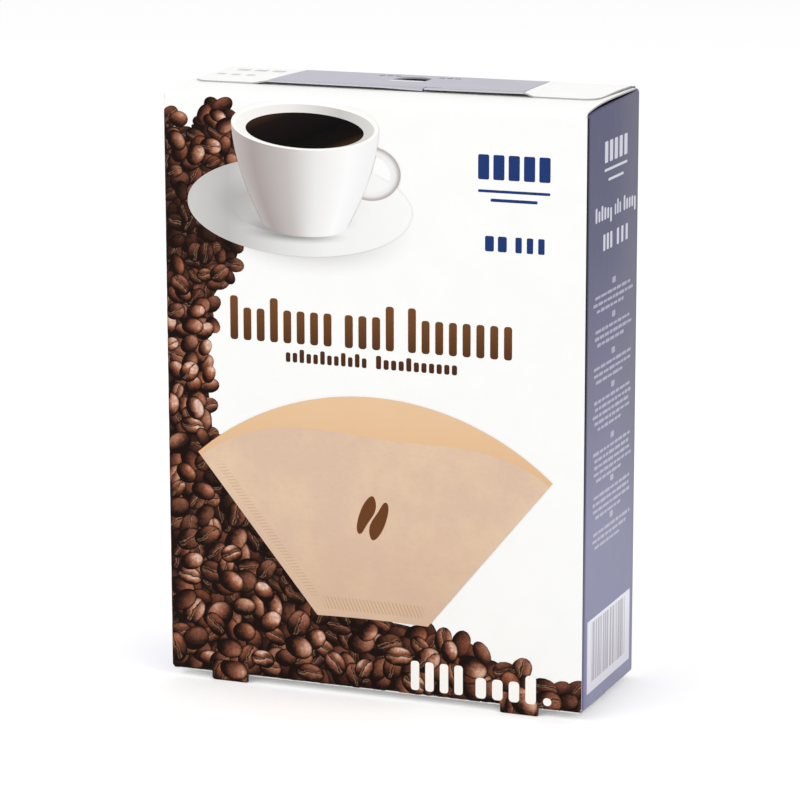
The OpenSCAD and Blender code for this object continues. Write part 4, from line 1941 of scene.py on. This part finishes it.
@dataclass
class FrontPrint(Printing):
    """Printed cup, cone and bars of the front panel."""

    cup_x: float = 45.0
    rim: Triple = (170.6, 23.2, 7.3)
    foot: Triple = (142.0, 13.6, 4.0)
    taper: float = 1.7
    inside: Triple = (0.3, 1.3, 0.9)
    coffee: Triple = (1.5, 4.6, 2.1)
    cone_x: float = 65.8
    cone_low: float = 23.8
    cone_corner: float = 70.6
    cone_crown: float = 91.6
    cone_halves: Pair = (17.6, 56.0)
    cone_bow: float = 0.35
    lip_drop: float = 1.2
    lip_dip: float = 10.2
    lip_wave: float = 1.4
    saucer: Row = (43.0, 146.6, 35.5, 14.6)
    saucer_shade: Row = (46.5, 139.5, 36.0, 14.5)
    saucer_well: Row = (44.0, 145.8, 21.5, 8.0)
    handle: Row = (20.5, 157.6, 9.4, 7.9)
    handle_turn: Pair = (-1.9, 1.75)
    handle_width: float = 0.30
    numeral: Pair = (4.6, 6.3)
    numeral_place: Pair = (66.0, 55.2)
    numeral_turn: Pair = (0.94, 0.34)
    numeral_bend: float = 0.55
    numeral_slim: float = 0.86
    numeral_gap: float = 0.30

    def oval(
        self, x: float, z: float, a: float, b: float, layer: Layer, slot: int, steps: int = 20
    ) -> Surface:
        """Printed oval with its own coordinates of -1 to 1."""
        disc = self.disc(steps)
        return self.front(np.array([x, z]) + disc * (a, b), layer, slot, uv=disc)

    def cup(self) -> None:
        """Cup on a saucer, seen from in front and a little above, with its handle to the right.

        The body's sides follow a curve that narrows with a power of the depth below the rim, and its rim and
        foot are half ovals. The rim and the foot are each given as a height and two half axes, and the inside
        and the coffee by how much lower and smaller they are than the rim.
        """
        x, (rim_z, rim_a, rim_b), (foot_z, foot_a, foot_b) = self.cup_x, self.rim, self.foot
        s = np.linspace(0.0, 1.0, 25)[:, None]
        turn = np.sin(np.linspace(-1.0, 1.0, 33) * QUARTER)
        bow = blend(rim_b, foot_b, s) * np.sqrt(np.maximum(1 - turn**2, 0.0))
        flat = grid_of(x + blend(rim_a, foot_a, s**self.taper) * turn, blend(rim_z, foot_z, s) - bow)[::-1]
        body = self.front(flat, Layer.CUP, 2, uv=grid_of(turn, 1 - 2 * s)[::-1])
        angle = np.linspace(*self.handle_turn, 29)[:, None]
        ring = np.linspace(0.0, 1.0, 5)
        size = 1.0 - self.handle_width * ring
        out, up, wide, tall = self.handle
        flat = grid_of(x + out + wide * size * np.cos(angle), up + tall * size * np.sin(angle))[:, ::-1]
        handle = self.front(flat, Layer.HANDLE, 2, uv=grid_of(0.35 - 0.95 * ring**2, 0.0 * angle))
        surfaces = [
            self.oval(*self.saucer_shade, Layer.SHADE, 6, 28),
            self.oval(*self.saucer, Layer.SAUCER, 0, 28),
            self.oval(*self.saucer_well, Layer.WELL, 1),
            handle,
            body,
        ]
        rings = ((Layer.CUP, (0.0, 0.0, 0.0)), (Layer.INSIDE, self.inside), (Layer.COFFEE, self.coffee))
        surfaces += [
            self.oval(x, rim_z - down, rim_a - side, rim_b - deep, layer, slot)
            for slot, (layer, (down, side, deep)) in enumerate(rings, 3)
        ]
        keep(
            "print_cup", Surface.joined(surfaces), Finish.SAUCER, Finish.SAUCER_WELL, Finish.CUP,
            Finish.WHITE_BAR, Finish.CUP_INSIDE, Finish.COFFEE, Finish.SOFT_SHADE,
        )

    def cone(self) -> None:
        """Flat paper cone: straight slanted sides between a short foot and an arc, with a lower front layer.

        A place runs from the left to the right side and from the foot to the arc. The arc is a circle through
        the two upper corners. Two bent ovals stand in place of the numeral.
        """
        low, corner, crown = self.cone_low, self.cone_corner, self.cone_crown
        foot_half, top_half = self.cone_halves
        s = np.linspace(-1.0, 1.0, 49)
        t = np.linspace(0.0, 1.0, 25)[:, None]
        radius = (top_half**2 + (crown - corner) ** 2) / (2.0 * (crown - corner))
        arc = crown - radius + np.sqrt(radius**2 - (top_half * s) ** 2)
        lip = arc - self.lip_drop - self.lip_dip * np.cos(s * QUARTER) ** 1.5
        lip -= self.lip_wave * np.sin(3.0 * s + 0.6) * (1 - s * s)
        front = t * np.clip((lip - low) / (arc - low), 0.0, 1.0)
        surfaces = []
        for slot, (layer, share) in enumerate(((Layer.CONE_BACK, t), (Layer.CONE, front))):
            x = self.cone_x + blend(foot_half * s, top_half * s, share)
            z = blend(low + self.cone_bow * (1 - s * s), arc, share)
            surfaces.append(self.front(grid_of(x, z), layer, slot))
        wide, tall = self.numeral
        (x, z), (cosine, sine) = self.numeral_place, self.numeral_turn
        across, up = np.moveaxis(self.disc(14) * self.numeral, -1, 0)
        bent = self.numeral_bend * np.sin(up / tall * math.pi * 0.9)
        for way in (-1.0, 1.0):
            half = (across + way * wide) / 2.0
            half = half * self.numeral_slim + bent * (1 - np.abs(half) / wide) + way * self.numeral_gap
            flat = grid_of(x + half * cosine + up * sine, z + up * cosine - half * sine)
            surfaces.append(self.front(flat, Layer.MARK, 2))
        keep("print_cone", Surface.joined(surfaces), Finish.KRAFT_BACK, Finish.KRAFT, Finish.NUMERAL)

    def bars(self) -> None:
        """Rows of plain bars where a pack has its wording: title, subtitle, mark and count."""
        brown = [
            *self.strokes(20.8, 53.2, 105.8, (13.2, 9.8, 9.8, 13.2, 9.8, 9.8, 9.8, 9.8), 1.75),
            *self.strokes(57.4, 72.8, 105.8, (9.8, 9.8, 9.8, 13.2), 1.75),
            *self.strokes(77.2, 109.2, 105.8, (13.2, 9.8, 9.8, 9.8, 9.8, 9.8, 9.8, 9.8), 1.75),
            *self.strokes(38.6, 64.2, 100.2, (*(2.9, 2.9, 4.0) * 3, 2.9, 4.0, 2.9), 0.75),
            *self.strokes(67.2, 92.4, 100.2, (4.0, 2.9, 2.9, 2.9, 4.0, 2.9, 2.9, 2.9, 2.9, 2.9, 2.9), 0.75),
        ]
        navy = [
            *self.strokes(98.6, 120.4, 157.9, (7.2,) * 5, 1.25, 0.3),
            self.bar(98.6, 120.4, 154.2, 155.0),
            self.bar(102.4, 116.6, 151.6, 152.5),
            *self.strokes(100.8, 107.4, 137.2, (4.5,) * 2, 1.2, 0.4),
            *self.strokes(110.0, 118.8, 137.2, (4.5,) * 3, 1.5, 0.4),
        ]
        groups = enumerate((brown, navy))
        surfaces = [self.front(bar, Layer.BAR, slot) for slot, group in groups for bar in group]
        keep("print_front_bars", Surface.joined(surfaces), Finish.TITLE, Finish.NAVY)
        count = [
            *self.strokes(78.0, 94.4, 3.9, (9.0,) * 4, 1.9),
            *self.strokes(98.4, 117.2, 3.6, (6.3, 6.3, 6.3, 8.6), 1.9),
            self.bar(119.4, 122.0, 3.6, 6.0, 1.0),
        ]
        surfaces = [self.front(bar, Layer.OVER) for bar in count]
        keep("print_count_bars", Surface.joined(surfaces), Finish.WHITE_BAR)

    def flap_bars(self) -> None:
        """Faint bars on the white left end of the outer flap."""
        b = self.blank
        found = []
        upper = self.strokes(6.2, 21.9, 38.6, (3.6,) * 3, 1.7, 0.3)
        lower = self.strokes(4.2, 16.6, 28.2, (2.6,) * 3, 2.0, 0.3)
        for bar in upper + lower:
            x, y = bar[..., 0], bar[..., 1]
            found.append(patch(grid_of(x, y, b.outer_top(y) + b.lift(x, y) + 0.03)))
        keep("print_flap_bars", Surface.joined(found), Finish.FLAP_MARK)

    def build(self) -> None:
        """Prints the front panel's shapes."""
        self.cup()
        self.cone()
        self.bars()
        self.flap_bars()


@dataclass
class SidePrint(Printing):
    """Printed bars, blocks of fine dashes and white label of the right side panel."""

    seed: int = 7
    blocks: tuple[tuple[float, int], ...] = (
        (126.6, 3), (116.6, 3), (105.8, 3), (95.8, 5), (80.6, 5), (67.6, 4), (56.6, 3),
    )

    def dashes(self) -> list[Surface]:
        """Blocks of rows of short dashes, each block under a small mark.

        Returns:
            A patch for each dash and mark.
        """
        rng = np.random.default_rng(self.seed)
        found = []
        for top, rows in self.blocks:
            found.append(self.right(self.bar(23.4, 26.6, top - 0.8, top + 1.0, 0.5), 0))
            for row in range(rows):
                z, last = top - 2.8 - 2.05 * row, row == rows - 1
                y = 6.2 + rng.uniform(0.0, 2.6) + 3.0 * last
                end = 43.4 - rng.uniform(0.0, 2.8) - 8.0 * last
                while y < end - 1.5:
                    wide = min(rng.uniform(2.0, 5.6), end - y)
                    tall = rng.uniform(0.40, 0.54)
                    found.append(self.right(self.bar(y, y + wide, z - tall, z + tall, 0.6), 0))
                    y += wide + rng.uniform(0.4, 0.7)
        return found

    def marks(self) -> list[Surface]:
        """Rows of upright bars in the places of the mark and of two lines below it.

        Returns:
            A patch for each bar.
        """
        places = [
            *self.strokes(15.4, 36.4, 161.9, (6.2,) * 5, 1.5, 0.3),
            self.bar(15.2, 36.4, 159.4, 160.2),
            self.bar(18.8, 33.0, 156.4, 157.2),
            *self.strokes(7.4, 22.4, 145.6, (4.4, 3.2, 4.4, 3.6, 3.2, -4.2), 1.0),
            *self.strokes(25.0, 30.8, 145.6, (3.2, 4.4, 3.2), 0.9),
            *self.strokes(33.4, 45.0, 145.6, (4.4, 3.2, 3.2, 3.2, -4.2), 0.9),
            *self.strokes(14.6, 23.0, 136.6, (4.8,) * 3, 1.2, 0.4),
            *self.strokes(27.2, 37.6, 136.6, (4.8,) * 3, 2.1, 0.4),
        ]
        return [self.right(bar, 1) for bar in places]

    def label(self) -> list[Surface]:
        """White label with upright bars of uneven width.

        Returns:
            A patch for the label and one for each bar.
        """
        rng = np.random.default_rng(self.seed + 4)
        found = [self.right(self.bar(4.0, 44.2, 6.9, 28.9, 0.03), 2)]
        y = 8.2
        while y < 40.4:
            wide = float(rng.choice([0.45, 0.8, 1.25, 1.7]))
            found.append(self.right(self.bar(y, y + wide, 9.8, 27.8, 0.05), 3, Layer.BAR + 0.01))
            y += wide + float(rng.choice([0.45, 0.8, 1.2]))
        return found

    def build(self) -> None:
        """Prints the right side panel."""
        surface = Surface.joined(self.dashes() + self.marks() + self.label())
        keep("print_side", surface, Finish.HAIRLINE, Finish.SIDE_MARK, Finish.LABEL, Finish.LABEL_BAR)


@dataclass
class Studio:
    """White studio: floor, soft lamps, pale surroundings and the camera."""

    azimuth: float = 21.4
    elevation: float = 12.5
    roll: float = -0.08
    distance: float = 1020.0
    lens: float = 157.5
    sensor: float = 36.0
    clip: Pair = (0.05, 60.0)
    target: Triple = (8.9, -23.9, 91.5)
    aim: Triple = (0.0, 0.0, 0.09)
    surround: float = 0.78
    floor_tone: float = 0.86
    floor_glow: float = 0.245
    floor_reach: float = 6000.0
    floor_drop: float = 0.02
    lamps: tuple[tuple[str, Triple, float, float], ...] = (
        ("key_lamp", (-0.9, -1.5, 1.5), 1.6, 13.0),
        ("fill_lamp", (1.6, -0.9, 1.1), 1.6, 7.0),
        ("top_lamp", (0.0, 0.3, 2.0), 2.0, 3.0),
    )

    def floor(self) -> None:
        """Wide white floor that keeps the carton's soft shadow."""
        x, y = np.meshgrid(*[np.linspace(-self.floor_reach, self.floor_reach, 5)] * 2)
        grid = grid_of(x + BLANK.width / 2.0, y + BLANK.depth / 2.0, -self.floor_drop)
        sketch = Sketch("studio_floor")
        sketch.set(
            Base_Color=(*(self.floor_tone,) * 3, 1.0), Roughness=0.95, Specular_IOR_Level=0.0,
            Emission_Color=(1.0, 1.0, 1.0, 1.0), Emission_Strength=sketch.seen() * self.floor_glow,
        )
        floor = make_piece("studio_floor", patch(grid), [sketch.owner])

    def surroundings(self) -> None:
        """White world for what the camera and mirrors see, and a paler level for the light that it gives."""
        sky = Sketch("studio", world=True)
        inputs = {"Value": sky.seen(), "To Min": self.surround, "To Max": 1.0}
        sky.set(Color=(1.0, 1.0, 1.0, 1.0), Strength=sky.value("ShaderNodeMapRange", "Result", inputs))
        bpy.context.scene.world = sky.owner

    def lamp(self, name: str, place: Triple, size: float, power: float) -> None:
        """Square soft lamp that looks at the middle of the carton.

        Args:
            name: Name of the lamp.
            place: Where it stands, in metres.
            size: Side of its square, in metres.
            power: Power in watts.
        """
        data = bpy.data.lights.new(name, "AREA")
        data.shape = "SQUARE"
        data.size = size
        data.energy = power
        way = Vector(self.aim) - Vector(place)
        turn = way.to_track_quat("-Z", "Y").to_matrix().to_4x4()
        add_object(name, data).matrix_world = Matrix.Translation(place) @ turn

    def camera(self) -> None:
        """Camera at the photograph's viewing angle."""
        data = bpy.data.cameras.new("camera")
        data.lens = self.lens
        data.sensor_width = self.sensor
        data.clip_start, data.clip_end = self.clip
        camera = add_object("camera", data)
        a, e = math.radians(self.azimuth), math.radians(self.elevation)
        back = Vector((math.sin(a) * math.cos(e), -math.cos(a) * math.cos(e), math.sin(e)))
        spot = (Vector(self.target) + back * self.distance) * MM
        roll = Matrix.Rotation(math.radians(self.roll), 4, "Z")
        turn = (-back).to_track_quat("-Z", "Y").to_matrix().to_4x4() @ roll
        camera.matrix_world = Matrix.Translation(spot) @ turn
        bpy.context.scene.camera = camera

    def build(self) -> None:
        """Sets up the studio."""
        self.camera()
        self.floor()
        self.surroundings()
        for lamp in self.lamps:
            self.lamp(*lamp)
        bpy.context.scene.view_settings.view_transform = "Standard"


def main() -> None:
    """Builds the carton, its print and the studio."""
    logging.basicConfig(level=logging.INFO, format="%(name)s %(message)s")
    for part in (Carton(), BeanHeap(), FrontPrint(), SidePrint(), Studio()):
        part.build()


if __name__ == "__main__":
    main()
